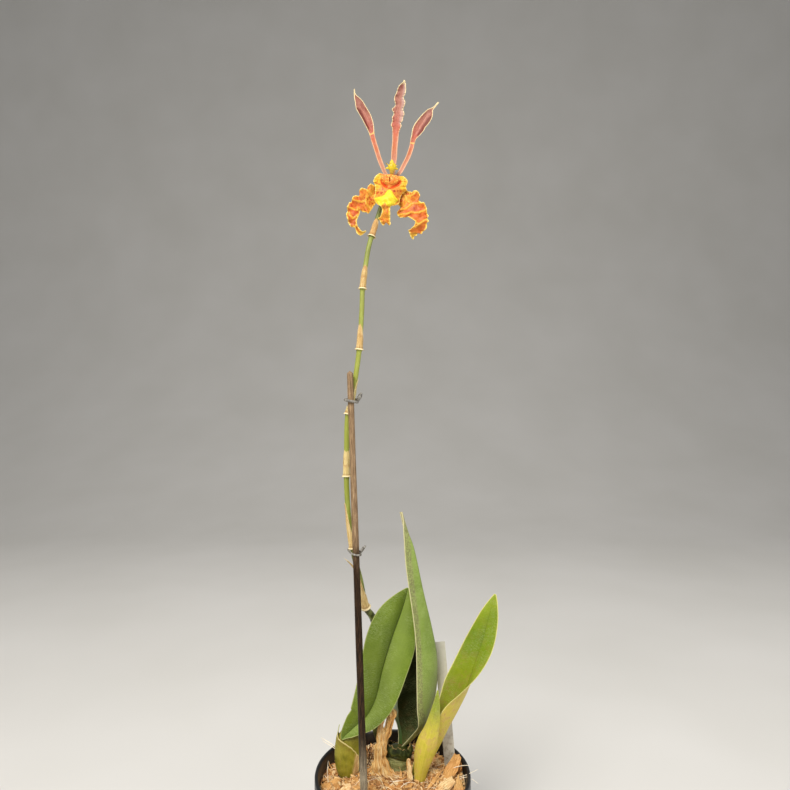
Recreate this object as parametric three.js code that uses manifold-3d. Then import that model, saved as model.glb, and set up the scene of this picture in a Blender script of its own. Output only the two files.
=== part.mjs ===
// A potted psychopsis orchid in bloom. Millimetres, +Z up, the front faces -Y.
// The origin is the centre of the pot's flat underside.
import * as THREE from 'three';
import { mergeVertices } from 'three/addons/utils/BufferGeometryUtils.js';
import Module from 'manifold-3d';

const wasm = await Module();
wasm.setup();

// Driving dimensions
const POT_HEIGHT = 120;
const RIM_RADIUS = 70;
const RIM_BAND = 11;
const BODY_TOP_RADIUS = 67.5;
const BASE_RADIUS = 50;
const POT_WALL = 1.6;
const POT_FLOOR = 2;
const DRAIN_RADIUS = 4;
const DRAIN_RING = 35;
const DRAIN_COUNT = 6;
const MEDIUM_TOP = 107;
const CLEAR = 0.35;
const STAKE_BASE = [-20, -41.5, 15];
const STAKE_TOP = [-37, -23.7, 480];
const STAKE_RADII = { base: 3, top: 2.3 };
const LABEL_SIZE = { wide: 10.5, thick: 0.8 };
const WIRE_RADIUS = 0.95;
const BLADE_EDGE = 0.35;

// The root of the plant
const plant = new THREE.Group();

function material(colour, roughness, metalness = 0) {
  return new THREE.MeshStandardMaterial({ color: colour, roughness, metalness });
}

const BLACK_PLASTIC = material(0x141414, 0.5);
const HUSK = material(0xc98f55, 0.95);
const ROOT = material(0xb9ad8c, 0.8);
const OLIVE = material(0x8a8a2c, 0.55);
const GREY_GREEN = material(0x7d8a5a, 0.6);
const LEAF_GREEN = material(0x5f7d2e, 0.45);
const SILVER_GREEN = material(0x8c9c58, 0.5);
const BRIGHT_GREEN = material(0x84a81e, 0.4);
const DRY = material(0xd2a566, 0.9);
const STEM_GREEN = material(0x97ab4a, 0.5);
const PAPERY = material(0xd0ae79, 0.85);
const WOOD = material(0x55402f, 0.8);
const WIRE = material(0x1c1c1e, 0.35);
const WHITE_PLASTIC = material(0xe8e4da, 0.5);
const YELLOW = material(0xf2d022, 0.5);
const MAUVE = material(0xb07a74, 0.6);
const ORANGE = material(0xd9702a, 0.6);

function add(name, geometry, surface) {
  const mesh = new THREE.Mesh(geometry, surface);
  mesh.name = name;
  plant.add(mesh);
  return mesh;
}

// A closed mesh from points and triangles, turned so that its faces look outward
function closed(points, triangles) {
  let volume = 0;
  for (const [a, b, c] of triangles) {
    volume += points[a].dot(new THREE.Vector3().crossVectors(points[b], points[c]));
  }
  const order = volume < 0 ? triangles.map(([a, b, c]) => [a, c, b]) : triangles;
  const geometry = new THREE.BufferGeometry();
  const flat = points.flatMap((p) => [p.x, p.y, p.z]);
  geometry.setAttribute('position', new THREE.Float32BufferAttribute(flat, 3));
  geometry.setIndex(order.flat());
  return geometry;
}

// Solids for cuts and joins
function solid(geometry) {
  const bare = geometry.clone();
  bare.deleteAttribute('normal');
  bare.deleteAttribute('uv');
  const merged = mergeVertices(bare, 1e-4);
  return new wasm.Manifold(new wasm.Mesh({
    numProp: 3,
    vertProperties: new Float32Array(merged.attributes.position.array),
    triVerts: new Uint32Array(merged.index.array),
  }));
}

// The largest piece of a solid as a mesh, so that no loose scrap stays
function toGeometry(body) {
  const pieces = body.decompose();
  pieces.sort((a, b) => b.volume() - a.volume());
  const mesh = pieces[0].getMesh();
  const geometry = new THREE.BufferGeometry();
  geometry.setAttribute('position', new THREE.BufferAttribute(mesh.vertProperties, 3));
  geometry.setIndex(new THREE.BufferAttribute(mesh.triVerts, 1));
  return geometry;
}

function joined(geometries) {
  return geometries.map(solid).reduce((whole, part) => whole.add(part));
}

// Reads the values between a piece's stations smoothly
function follow(stations) {
  const points = stations.map((s) => new THREE.Vector3(...s.at));
  const route = new THREE.CatmullRomCurve3(points, false, 'centripetal');
  const read = (key, other) => {
    const values = stations.map((s, i) => new THREE.Vector2(i, s[key] ?? s[other] ?? 0));
    const track = new THREE.SplineCurve(values);
    return (t) => track.getPoint(t).y;
  };
  return { route, read };
}

// The direction that a piece faces at a turn in degrees: 0 is the front, 90 is +X
function facing(turn) {
  const angle = THREE.MathUtils.degToRad(turn);
  return new THREE.Vector3(Math.sin(angle), -Math.cos(angle), 0);
}

// A point of a half blade: it leaves the midrib at the fold angle and bends by the cup angle
function halfBlade(width, fold, cup, u) {
  const start = THREE.MathUtils.degToRad(fold);
  const bend = THREE.MathUtils.degToRad(Math.abs(cup) < 1 ? 1 : cup);
  const end = start + bend * u;
  return {
    side: (width * (Math.sin(end) - Math.sin(start))) / bend,
    lift: (width * (Math.cos(start) - Math.cos(end))) / bend,
  };
}

// A leaf, sepal or sheath: a thin blade along its midrib. Each station gives the midrib point,
// the half widths, the turn, fold and cup, and the thickness at the midrib
function blade(stations, { columns, rows, ruffle = () => ({ lift: 0, spread: 1 }) }) {
  const { route, read } = follow(stations);
  const at = {
    left: read('left', 'half'),
    right: read('right', 'half'),
    turn: read('turn'),
    foldLeft: read('foldLeft', 'fold'),
    foldRight: read('foldRight', 'fold'),
    cupLeft: read('cupLeft', 'cup'),
    cupRight: read('cupRight', 'cup'),
    thick: read('thick'),
  };
  const middle = [];
  for (let j = 0; j <= rows; j += 1) {
    const t = j / rows;
    const rib = route.getPoint(t);
    const tangent = route.getTangent(t);
    const across = new THREE.Vector3().crossVectors(tangent, facing(at.turn(t))).normalize();
    const front = new THREE.Vector3().crossVectors(across, tangent).normalize();
    const row = [];
    for (let i = 0; i <= columns; i += 1) {
      const u = (2 * i) / columns - 1;
      const hand = Math.sign(u);
      const wave = ruffle(t, u);
      const width = Math.max(0.4, (u < 0 ? at.left(t) : at.right(t)) * wave.spread);
      const fold = u < 0 ? at.foldLeft(t) : at.foldRight(t);
      const cup = u < 0 ? at.cupLeft(t) : at.cupRight(t);
      const { side, lift } = halfBlade(width, fold, cup, Math.abs(u));
      row.push(rib.clone().addScaledVector(across, hand * side).addScaledVector(front, lift + wave.lift));
    }
    middle.push(row);
  }
  const thickness = (t, u) => {
    const edge = 2 * BLADE_EDGE;
    return edge + Math.max(0, at.thick(t) - edge) * (1 - Math.abs(u) ** 1.5);
  };
  return thicken(middle, thickness);
}

// Gives a sheet of points a thickness, split into triangles alike on both faces
function thicken(middle, thickness) {
  const rows = middle.length - 1;
  const columns = middle[0].length - 1;
  const points = [];
  const normalAt = (j, i) => {
    const along = middle[Math.min(j + 1, rows)][i].clone().sub(middle[Math.max(j - 1, 0)][i]);
    const over = middle[j][Math.min(i + 1, columns)].clone().sub(middle[j][Math.max(i - 1, 0)]);
    return over.cross(along).normalize();
  };
  for (const face of [1, -1]) {
    for (let j = 0; j <= rows; j += 1) {
      for (let i = 0; i <= columns; i += 1) {
        const half = thickness(j / rows, (2 * i) / columns - 1) / 2;
        points.push(middle[j][i].clone().addScaledVector(normalAt(j, i), face * half));
      }
    }
  }
  const sheet = (rows + 1) * (columns + 1);
  const id = (face, j, i) => face * sheet + j * (columns + 1) + i;
  const triangles = [];
  for (let j = 0; j < rows; j += 1) {
    for (let i = 0; i < columns; i += 1) {
      const [a, b, c, d] = [id(0, j, i), id(0, j, i + 1), id(0, j + 1, i + 1), id(0, j + 1, i)];
      triangles.push([a, b, c], [a, c, d]);
      triangles.push([a + sheet, c + sheet, b + sheet], [a + sheet, d + sheet, c + sheet]);
    }
  }
  const wall = (a, b) => triangles.push([b, a, a + sheet], [b, a + sheet, b + sheet]);
  for (let i = 0; i < columns; i += 1) {
    wall(id(0, 0, i), id(0, 0, i + 1));
    wall(id(0, rows, i + 1), id(0, rows, i));
  }
  for (let j = 0; j < rows; j += 1) {
    wall(id(0, j, columns), id(0, j + 1, columns));
    wall(id(0, j + 1, 0), id(0, j, 0));
  }
  return closed(points, triangles);
}

// A closed skin over rings of points, with a flat cap at each end
function loft(rings) {
  const sides = rings[0].length;
  const points = rings.flat();
  const triangles = [];
  for (let j = 0; j < rings.length - 1; j += 1) {
    for (let i = 0; i < sides; i += 1) {
      const next = (i + 1) % sides;
      const [a, b] = [j * sides + i, j * sides + next];
      triangles.push([a, b, b + sides], [a, b + sides, a + sides]);
    }
  }
  for (const [j, flip] of [[0, true], [rings.length - 1, false]]) {
    const centre = rings[j].reduce((sum, p) => sum.add(p), new THREE.Vector3()).divideScalar(sides);
    points.push(centre);
    for (let i = 0; i < sides; i += 1) {
      const [a, b] = [j * sides + i, j * sides + ((i + 1) % sides)];
      triangles.push(flip ? [b, a, points.length - 1] : [a, b, points.length - 1]);
    }
  }
  return closed(points, triangles);
}

// One ring round a route, flattened by its depth
function ringAt(route, t, sides, radius, depth = 1, shape = () => 1) {
  const tangent = route.getTangent(t);
  const across = new THREE.Vector3().crossVectors(tangent, facing(0)).normalize();
  const front = new THREE.Vector3().crossVectors(across, tangent).normalize();
  const centre = route.getPoint(t);
  return Array.from({ length: sides }, (_, i) => {
    const angle = (2 * Math.PI * i) / sides;
    const reach = radius * shape(angle, t);
    return centre.clone()
      .addScaledVector(across, reach * Math.cos(angle))
      .addScaledVector(front, reach * depth * Math.sin(angle));
  });
}

// A stem whose radius follows its stations
function stem(stations, { sides, rows, grow = 0, shape }) {
  const { route, read } = follow(stations);
  const radius = read('radius');
  const depth = read('depth');
  const rings = [];
  for (let j = 0; j <= rows; j += 1) {
    const t = j / rows;
    rings.push(ringAt(route, t, sides, Math.max(0.3, radius(t)) + grow, depth(t) || 1, shape));
  }
  return loft(rings);
}

// Pot: a round nursery pot with a rolled rim band and drain holes off its centre
function potWall(z) {
  return BASE_RADIUS + ((BODY_TOP_RADIUS - BASE_RADIUS) * z) / (POT_HEIGHT - RIM_BAND);
}

function makePot() {
  const shoulder = POT_HEIGHT - RIM_BAND;
  const inner = (z) => potWall(z) - POT_WALL;
  const profile = [
    [0, 0],
    [BASE_RADIUS - 1.5, 0],
    [BASE_RADIUS, 1.5],
    [potWall(shoulder), shoulder],
    [RIM_RADIUS - 0.5, shoulder],
    [RIM_RADIUS, shoulder + 0.8],
    [RIM_RADIUS, POT_HEIGHT - 1.4],
    [RIM_RADIUS - 1, POT_HEIGHT - 0.3],
    [RIM_RADIUS - 2, POT_HEIGHT],
    [RIM_RADIUS - 3.2, POT_HEIGHT - 0.5],
    [inner(shoulder) + 0.6, POT_HEIGHT - 2.5],
    [inner(shoulder), shoulder],
    [inner(POT_FLOOR + 2), POT_FLOOR + 2],
    [inner(POT_FLOOR) - 2, POT_FLOOR],
    [0, POT_FLOOR],
  ];
  const outline = profile.map(([r, z]) => new THREE.Vector2(r, z));
  const body = new THREE.LatheGeometry(outline, 40).rotateX(Math.PI / 2);
  let shell = solid(body);
  for (let k = 0; k < DRAIN_COUNT; k += 1) {
    const angle = (2 * Math.PI * (k + 0.5)) / DRAIN_COUNT;
    const hole = new THREE.CylinderGeometry(DRAIN_RADIUS, DRAIN_RADIUS, 4 * POT_FLOOR, 8);
    hole.rotateX(Math.PI / 2);
    hole.translate(DRAIN_RING * Math.cos(angle), DRAIN_RING * Math.sin(angle), POT_FLOOR / 2);
    shell = shell.subtract(solid(hole));
  }
  add('pot', toGeometry(shell), BLACK_PLASTIC);
}

// Stake and label, which stand in the medium
function rod(from, to, radiusFrom, radiusTo, sides) {
  const [a, b] = [new THREE.Vector3(...from), new THREE.Vector3(...to)];
  const axis = b.clone().sub(a);
  const body = new THREE.CylinderGeometry(radiusTo, radiusFrom, axis.length(), sides);
  body.applyQuaternion(
    new THREE.Quaternion().setFromUnitVectors(new THREE.Vector3(0, 1, 0), axis.normalize()),
  );
  return body.translate(...a.add(b).multiplyScalar(0.5));
}

function stakeRod(grow = 0) {
  const { base, top } = STAKE_RADII;
  return rod(STAKE_BASE, STAKE_TOP, base + grow, top + grow, 12);
}

const LABEL_FOOT = new THREE.Vector3(55, 18, 97);
const LABEL_HEAD = new THREE.Vector3(44.5, 33, 223);

function labelBlade(grow = 0) {
  const axis = LABEL_HEAD.clone().sub(LABEL_FOOT);
  const { wide, thick } = LABEL_SIZE;
  const body = new THREE.BoxGeometry(wide + grow, thick + grow, axis.length() + grow);
  body.applyQuaternion(
    new THREE.Quaternion().setFromUnitVectors(new THREE.Vector3(0, 0, 1), axis.normalize()),
  );
  return body.translate(...LABEL_HEAD.clone().add(LABEL_FOOT).multiplyScalar(0.5));
}

// Rhizome and roots, which join the growths under the surface
const RHIZOME = [
  { at: [-46, 10, 101], radius: 2.5 },
  { at: [-38, 9, 102.6], radius: 4.4 },
  { at: [-12, 14, 101.5], radius: 4 },
  { at: [6, 14, 102], radius: 4.6 },
  { at: [22, 6, 102], radius: 4.6 },
  { at: [28, 1, 100], radius: 2.2 },
];
const ROOT_PLACES = [[-36, 10], [-20, 12], [-4, 14], [8, 13], [20, 7]];

function rhizomeBody(grow = 0) {
  const parts = [stem(RHIZOME, { sides: 8, rows: 10, grow })];
  ROOT_PLACES.forEach(([x, y], k) => {
    const lean = 6 * Math.sin(2.3 * k);
    const depth = 52 + 9 * Math.cos(1.7 * k);
    parts.push(stem([
      { at: [x, y, 102], radius: 2.2 },
      { at: [x + lean, y - 6, 102 - depth * 0.35], radius: 2 },
      { at: [x - lean, y - 4 + lean, 102 - depth * 0.7], radius: 1.8 },
      { at: [x + lean, y + lean, 102 - depth], radius: 1.2 },
    ], { sides: 5, rows: 4, grow }));
  });
  return joined(parts);
}

// Pseudobulbs: flattened and wrinkled, one under each grown leaf
const BULB_LEFT = [
  { at: [-38.5, 8, 108.4], radius: 5, depth: 0.66 },
  { at: [-39.8, 8, 113], radius: 7.9, depth: 0.6 },
  { at: [-39.8, 8, 121], radius: 8.7, depth: 0.56 },
  { at: [-39, 8.5, 130], radius: 8, depth: 0.56 },
  { at: [-36.5, 10.5, 136], radius: 5.4, depth: 0.6 },
  { at: [-34.5, 12, 138.2], radius: 2.8, depth: 0.8 },
];
const BULB_CENTER = [
  { at: [4, 13.5, 108.6], radius: 8, depth: 0.62 },
  { at: [4.5, 13.5, 112], radius: 10.6, depth: 0.62 },
  { at: [5, 14, 119], radius: 11.3, depth: 0.62 },
  { at: [6.5, 15, 125.5], radius: 10.4, depth: 0.62 },
  { at: [8.5, 16, 129.4], radius: 8.2, depth: 0.66 },
];

function wrinkles(angle, t) {
  return 1 + 0.035 * Math.sin(7 * angle + 3 * t) + 0.02 * Math.sin(22 * t);
}

function bulb(stations, grow = 0) {
  return stem(stations, { sides: 16, rows: 8, grow, shape: wrinkles });
}

// Leaves: thick blades folded along the midrib, opening toward their tips
const LEAF_LEFT = [
  { at: [-33.5, 13, 139.9], half: 4, turn: 6, fold: 55, cup: 40, thick: 2.6 },
  { at: [-31.5, 13, 144.5], left: 10, right: 7, turn: 8, foldLeft: 30, foldRight: 60, cup: 20, thick: 2.6 },
  { at: [-28.5, 12.5, 150], left: 21.5, right: 10, turn: 8, foldLeft: 20, foldRight: 66, cup: 12, thick: 2.4 },
  { at: [-24, 11, 160], left: 23.5, right: 14, turn: 8, foldLeft: 20, foldRight: 58, cup: 10, thick: 2.2 },
  { at: [-17, 8, 180], left: 23.5, right: 18, turn: 8, foldLeft: 20, foldRight: 40, cup: 6, thick: 2.2 },
  { at: [-9.5, 5, 210], left: 23.5, right: 21.5, turn: 9, foldLeft: 20, foldRight: 24, cup: 2, thick: 2 },
  { at: [-0.5, 4, 240], left: 26, right: 21.5, turn: 9, fold: 16, cup: 0, thick: 1.8 },
  { at: [7.5, 5, 261], left: 21.5, right: 11.5, turn: 8, fold: 14, cup: 0, thick: 1.5 },
  { at: [12, 6.5, 274.5], left: 11.5, right: 4.5, turn: 6, fold: 10, cup: 0, thick: 1.3 },
  { at: [14, 7.5, 282.5], left: 1.4, right: 0.9, turn: 4, fold: 6, cup: 0, thick: 1 },
];
const LEAF_CENTER = [
  { at: [11.5, 18.4, 128.4], half: 7.5, turn: -50, fold: 50, cup: 40, thick: 2.8 },
  { at: [22, 22.5, 139], left: 21, right: 19, turn: -55, fold: 36, cup: 50, thick: 2.6 },
  { at: [30, 24, 152], left: 28, right: 27, turn: -50, fold: 34, cup: 60, thick: 2.4 },
  { at: [36.5, 23, 168], left: 32, right: 31, turn: -52, fold: 40, cup: 55, thick: 2.2 },
  { at: [40.3, 19, 188], left: 32, right: 31, turn: -59, fold: 44, cup: 48, thick: 2.2 },
  { at: [40.3, 14.5, 216], left: 24, right: 28, turn: -64, fold: 50, cup: 38, thick: 2 },
  { at: [35.6, 9, 243], left: 14.5, right: 21.5, turn: -73, fold: 55, cup: 21, thick: 2 },
  { at: [27, 2.5, 281], left: 9.3, right: 14.6, turn: -77, fold: 62, cup: 10, thick: 1.8 },
  { at: [18.3, -3, 322], left: 6, right: 8.8, turn: -81, fold: 68, cup: 6, thick: 1.6 },
  { at: [12.7, -4.5, 340], left: 2.6, right: 3.8, turn: -80, fold: 66, cup: 0, thick: 1.4 },
  { at: [9.6, -5, 353], half: 1.5, turn: -80, fold: 40, cup: 0, thick: 1.6 },
];
const LEAF_RIGHT = [
  { at: [24, 4, 108.8], half: 10, turn: -62, fold: 62, cup: 30, thick: 2.6 },
  { at: [32, 4.5, 121], half: 15.5, turn: -64, fold: 66, cup: 24, thick: 2.6 },
  { at: [42, 5.5, 139], left: 16.5, right: 18.5, turn: -66, fold: 66, cup: 22, thick: 2.4 },
  { at: [50.5, 6.5, 155.5], left: 18, right: 20.5, turn: -66, fold: 62, cup: 26, thick: 2.4 },
  { at: [59.5, 8, 171], left: 21, right: 22, turn: -60, foldLeft: 52, foldRight: 62, cup: 30, thick: 2.2 },
  { at: [68.5, 9.5, 189], left: 23, right: 19, turn: -46, foldLeft: 36, foldRight: 60, cup: 26, thick: 2.2 },
  { at: [75.5, 9.5, 211], left: 19.5, right: 17.5, turn: -34, foldLeft: 24, foldRight: 42, cup: 20, thick: 2 },
  { at: [82.5, 7, 235], left: 15.6, right: 15.2, turn: -28, foldLeft: 18, foldRight: 24, cup: 16, thick: 1.8 },
  { at: [88, 3, 260], left: 8.8, right: 10, turn: -24, fold: 14, cup: 12, thick: 1.6 },
  { at: [91, 0, 273], left: 4, right: 4.4, turn: -22, fold: 8, cup: 8, thick: 1.3 },
  { at: [92.5, -1, 279.5], half: 1, turn: -22, fold: 6, cup: 0, thick: 1 },
];

// Sheaths: the leafy ones wrap a growth and end in a point, the old ones are dry strands
const SHEATH_LEFT = [
  { at: [-47, 11, 107.9], left: 3, right: 16, turn: 90, foldLeft: 8, foldRight: 30, cupLeft: 20, cupRight: 90, thick: 1 },
  { at: [-51.5, 10, 117], left: 5, right: 27, turn: 90, foldLeft: 8, foldRight: 24, cupLeft: 20, cupRight: 120, thick: 1 },
  { at: [-52.5, 10, 127], left: 5, right: 27, turn: 90, foldLeft: 8, foldRight: 20, cupLeft: 20, cupRight: 115, thick: 1 },
  { at: [-52, 10, 136], left: 4.5, right: 15, turn: 90, foldLeft: 8, foldRight: 16, cupLeft: 20, cupRight: 76, thick: 1 },
  { at: [-50.5, 9.5, 145], left: 3, right: 5, turn: 90, fold: 12, cup: 30, thick: 0.9 },
  { at: [-49, 9.5, 154], half: 0.8, turn: 90, fold: 5, cup: 0, thick: 0.8 },
];
const SHEATH_RIGHT = [
  { at: [13.5, 6.5, 107.9], half: 3.6, turn: 60, fold: 8, cup: 10, thick: 1 },
  { at: [17, 7, 122], half: 3.8, turn: 60, fold: 8, cup: 10, thick: 1 },
  { at: [25, 8.4, 141], half: 3, turn: 60, fold: 8, cup: 10, thick: 1 },
  { at: [34.6, 10.2, 161], half: 2.4, turn: 60, fold: 8, cup: 10, thick: 1 },
  { at: [38.6, 10.8, 175], half: 2.4, turn: 60, fold: 8, cup: 10, thick: 0.9 },
  { at: [42, 10, 189.5], half: 0.8, turn: 60, fold: 5, cup: 0, thick: 0.8 },
];
const SHEATH_DRY = [
  { at: [15.5, -4, 109], half: 3.4, turn: 20, fold: 20, cup: 30, thick: 1 },
  { at: [12.5, -1.5, 118], half: 3, turn: 20, fold: 20, cup: 30, thick: 1 },
  { at: [12.5, -1, 127], half: 0.9, turn: 20, fold: 10, cup: 0, thick: 0.8 },
];
const OLD_STRANDS = [
  [
    { at: [-12, 3.5, 108], radius: 8.4, depth: 0.45 },
    { at: [-12, 4, 118], radius: 7, depth: 0.45 },
    { at: [-11.5, 4.5, 130], radius: 5, depth: 0.5 },
    { at: [-10.5, 5, 146], radius: 3, depth: 0.6 },
    { at: [-9.8, 5.5, 160], radius: 2.2, depth: 0.7 },
    { at: [-9, 6, 168.5], radius: 1.2, depth: 0.7 },
  ],
  [
    { at: [-8, 4, 108], radius: 8.6, depth: 0.42 },
    { at: [-8, 4.5, 118], radius: 6.2, depth: 0.45 },
    { at: [-6.5, 5, 131], radius: 4.2, depth: 0.5 },
    { at: [-4, 5, 143], radius: 3.4, depth: 0.6 },
    { at: [-1.5, 5, 155], radius: 4.4, depth: 0.5 },
    { at: [-0.5, 5.5, 166], radius: 3.8, depth: 0.5 },
    { at: [-2.5, 6, 178.5], radius: 0.9, depth: 0.8 },
  ],
];

// Spike: jointed, from the centre growth's foot up past the stake to the flower
const SPIKE = [
  { at: [-4.6, 24.2, 108.4], radius: 3 },
  { at: [-8.5, 23, 128], radius: 3.8 },
  { at: [-13.5, 22.5, 139], radius: 3.8 },
  { at: [-17, 22.5, 151], radius: 3.7 },
  { at: [-19, 22, 168.5], radius: 3.6 },
  { at: [-18.5, 20, 193], radius: 3.5 },
  { at: [-16.5, 16.5, 221], radius: 3.4 },
  { at: [-15.5, 11, 242], radius: 3.3 },
  { at: [-18.5, 2, 258], radius: 3.1 },
  { at: [-24, -6.5, 269.5], radius: 2.8 },
  { at: [-28.5, -15.5, 297], radius: 2.4 },
  { at: [-34.5, -22, 320], radius: 2.3 },
  { at: [-38, -22.5, 342], radius: 2.3 },
  { at: [-39.8, -21.5, 377.5], radius: 2.3 },
  { at: [-40, -20, 415], radius: 2.3 },
  { at: [-39.2, -18.5, 440], radius: 2.3 },
  { at: [-35.6, -17.8, 456], radius: 2.2 },
  { at: [-32.3, -17, 476], radius: 2.2 },
  { at: [-29.3, -16.5, 499], radius: 2.2 },
  { at: [-27, -16, 534.5], radius: 2.1 },
  { at: [-26.4, -15.5, 552], radius: 2.1 },
  { at: [-24.5, -15, 568], radius: 2.1 },
  { at: [-20.8, -14, 590.5], radius: 2.1 },
  { at: [-15.5, -11.5, 609], radius: 2 },
  { at: [-11, -8, 625], radius: 1.9 },
  { at: [-7, -6, 639], radius: 1.9 },
  { at: [-4.2, -6.2, 645.2], radius: 1.6 },
];
const SPIKE_ROWS = 52;

// Joints of the spike: height, and the length and lean of the bract that stands on each
const BRACT_GAP = 0.65;
const BRACTS = [
  { height: 186, length: 38, turn: 180, spread: 1.5, width: 0.5 },
  { height: 269.5, length: 51, turn: -60, spread: 7, width: 0.34 },
  { height: 326, length: 35, turn: -30, spread: 1, width: 0.5 },
  { height: 388, length: 28, turn: 150, spread: 1, width: 0.5 },
  { height: 442, length: 27, turn: 70, spread: 2.2, width: 0.3 },
  { height: 498.5, length: 27, turn: 20, spread: 0.6, width: 0.5 },
  { height: 552, length: 25, turn: 30, spread: 0.6, width: 0.5 },
  { height: 598.5, length: 19, turn: -20, spread: 0.5, width: 0.7 },
];

// The place along a route where it reaches a height
function parameterAt(route, height) {
  let [low, high] = [0, 1];
  for (let k = 0; k < 40; k += 1) {
    const middle = (low + high) / 2;
    if (route.getPoint(middle).z < height) {
      low = middle;
    } else {
      high = middle;
    }
  }
  return low;
}

// A papery sleeve round the spike: a flared foot, split at the back, drawn out to a free point
function bract({ height, length, turn, spread, width }) {
  const { route, read } = follow(SPIKE);
  const radius = read('radius');
  const foot = parameterAt(route, height);
  const head = parameterAt(route, height + length);
  const [sides, rows, wall] = [8, 4, 0.65];
  const skins = [0, wall].map((grow) => {
    const rings = [];
    for (let j = 0; j <= rows; j += 1) {
      rings.push(Array.from({ length: sides }, (_, i) => {
        const angle = (2 * Math.PI * i) / sides;
        const across = Math.abs(Math.cos(angle / 2)) ** (2 / width);
        const reach = 0.25 + 0.75 * across;
        const up = (j / rows) * reach;
        const t = foot + (head - foot) * up;
        const tangent = route.getTangent(t);
        const out = facing(turn + THREE.MathUtils.radToDeg(angle));
        out.addScaledVector(tangent, -out.dot(tangent)).normalize();
        const flare = 0.7 * (1 - j / rows) ** 4;
        const peel = spread * Math.max(0, up - 0.55) ** 2 * 4.9;
        return route.getPoint(t).addScaledVector(out, radius(t) + BRACT_GAP + grow + flare + peel);
      }));
    }
    return rings;
  });
  const points = skins.flat(2);
  const sheet = (rows + 1) * sides;
  const triangles = [];
  for (let j = 0; j < rows; j += 1) {
    for (let i = 0; i < sides; i += 1) {
      const [a, b] = [j * sides + i, j * sides + ((i + 1) % sides)];
      triangles.push([a, b + sides, b], [a, a + sides, b + sides]);
      triangles.push([a + sheet, b + sheet, b + sides + sheet]);
      triangles.push([a + sheet, b + sides + sheet, a + sides + sheet]);
    }
  }
  for (let i = 0; i < sides; i += 1) {
    const next = (i + 1) % sides;
    triangles.push([i, next, next + sheet], [i, next + sheet, i + sheet]);
    const [a, b] = [rows * sides + i, rows * sides + next];
    triangles.push([b, a, a + sheet], [b, a + sheet, b + sheet]);
  }
  return closed(points, triangles);
}

// Wire ties: two turns round stake and spike, with the ends twisted together
const TURN_STEPS = 14;
const TIES = [
  { name: 'tie_upper', height: 455, tilt: -0.2, knot: -60, held: 3.6 },
  { name: 'tie_lower', height: 323, tilt: -0.08, knot: -95, held: 3.1 },
];

function stakePoint(height) {
  const [a, b] = [new THREE.Vector3(...STAKE_BASE), new THREE.Vector3(...STAKE_TOP)];
  return a.lerp(b, (height - STAKE_BASE[2]) / (STAKE_TOP[2] - STAKE_BASE[2]));
}

function wireAlong(points, steps) {
  const route = new THREE.CatmullRomCurve3(points, false, 'centripetal');
  const section = new THREE.Shape(new THREE.Path().absarc(0, 0, WIRE_RADIUS, 0, 2 * Math.PI).getPoints(2.5));
  return new THREE.ExtrudeGeometry(section, { extrudePath: route, steps, bevelEnabled: false });
}

function tie({ height, tilt, knot, held }) {
  const { route } = follow(SPIKE);
  const stalk = route.getPoint(parameterAt(route, height));
  const pole = stakePoint(height);
  const apart = stalk.clone().sub(pole).setZ(0);
  const toward = apart.clone().normalize();
  const beside = new THREE.Vector3(-toward.y, toward.x, 0);
  const reach = held + CLEAR + WIRE_RADIUS;
  const loop = (turn, drop) => {
    const centre = Math.cos(turn) > 0 ? stalk : pole;
    const point = new THREE.Vector3(centre.x, centre.y, height - drop)
      .addScaledVector(toward, reach * Math.cos(turn))
      .addScaledVector(beside, reach * Math.sin(turn));
    point.z += tilt * (point.x - pole.x);
    return point;
  };
  const start = THREE.MathUtils.degToRad(knot);
  const turns = [];
  for (let k = 0; k <= 2 * TURN_STEPS; k += 1) {
    const turn = start + (2 * Math.PI * k) / TURN_STEPS;
    turns.push(loop(turn, (2 * WIRE_RADIUS * k) / TURN_STEPS));
  }
  const out = toward.clone().multiplyScalar(Math.cos(start)).addScaledVector(beside, Math.sin(start));
  const over = new THREE.Vector3(-out.y, out.x, 0);
  const ends = [turns[0], turns[2 * TURN_STEPS]].map((foot, which) => {
    const points = [foot.clone()];
    for (let k = 1; k <= 5; k += 1) {
      const spin = Math.PI * (which + k / 2);
      points.push(turns[0].clone()
        .addScaledVector(out, 0.8 * k)
        .addScaledVector(over, 0.6 * Math.sin(spin))
        .add(new THREE.Vector3(0, 0, 0.9 * k - 1 + 0.7 * Math.cos(spin))));
    }
    return wireAlong(points, 5);
  });
  return toGeometry(joined([wireAlong(turns, 20), ...ends]));
}

// Flower: three slender upright segments, two broad ruffled ones, the lip and the column
const DORSAL_SEPAL = [
  { at: [-1.4, -5.6, 652.6], half: 1.6, fold: 6, thick: 1.6 },
  { at: [0, -7, 660], half: 2, fold: 10, thick: 1.6 },
  { at: [1, -8, 667.5], half: 2.4, fold: 12, thick: 1.6 },
  { at: [2, -9, 681], half: 2.6, fold: 12, thick: 1.5 },
  { at: [2.6, -9.5, 694], half: 2.9, fold: 12, thick: 1.4 },
  { at: [4, -10, 705], half: 5, fold: 16, cup: 8, thick: 1.2 },
  { at: [5.5, -10.5, 716.5], half: 6.2, fold: 18, cup: 10, thick: 1.1 },
  { at: [7.2, -12, 727], half: 5.4, fold: 18, cup: 10, thick: 1 },
  { at: [9, -13, 733], half: 2.6, fold: 12, cup: 6, thick: 0.9 },
  { at: [10, -14, 737], half: 0.6, fold: 5, thick: 0.9 },
];
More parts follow.
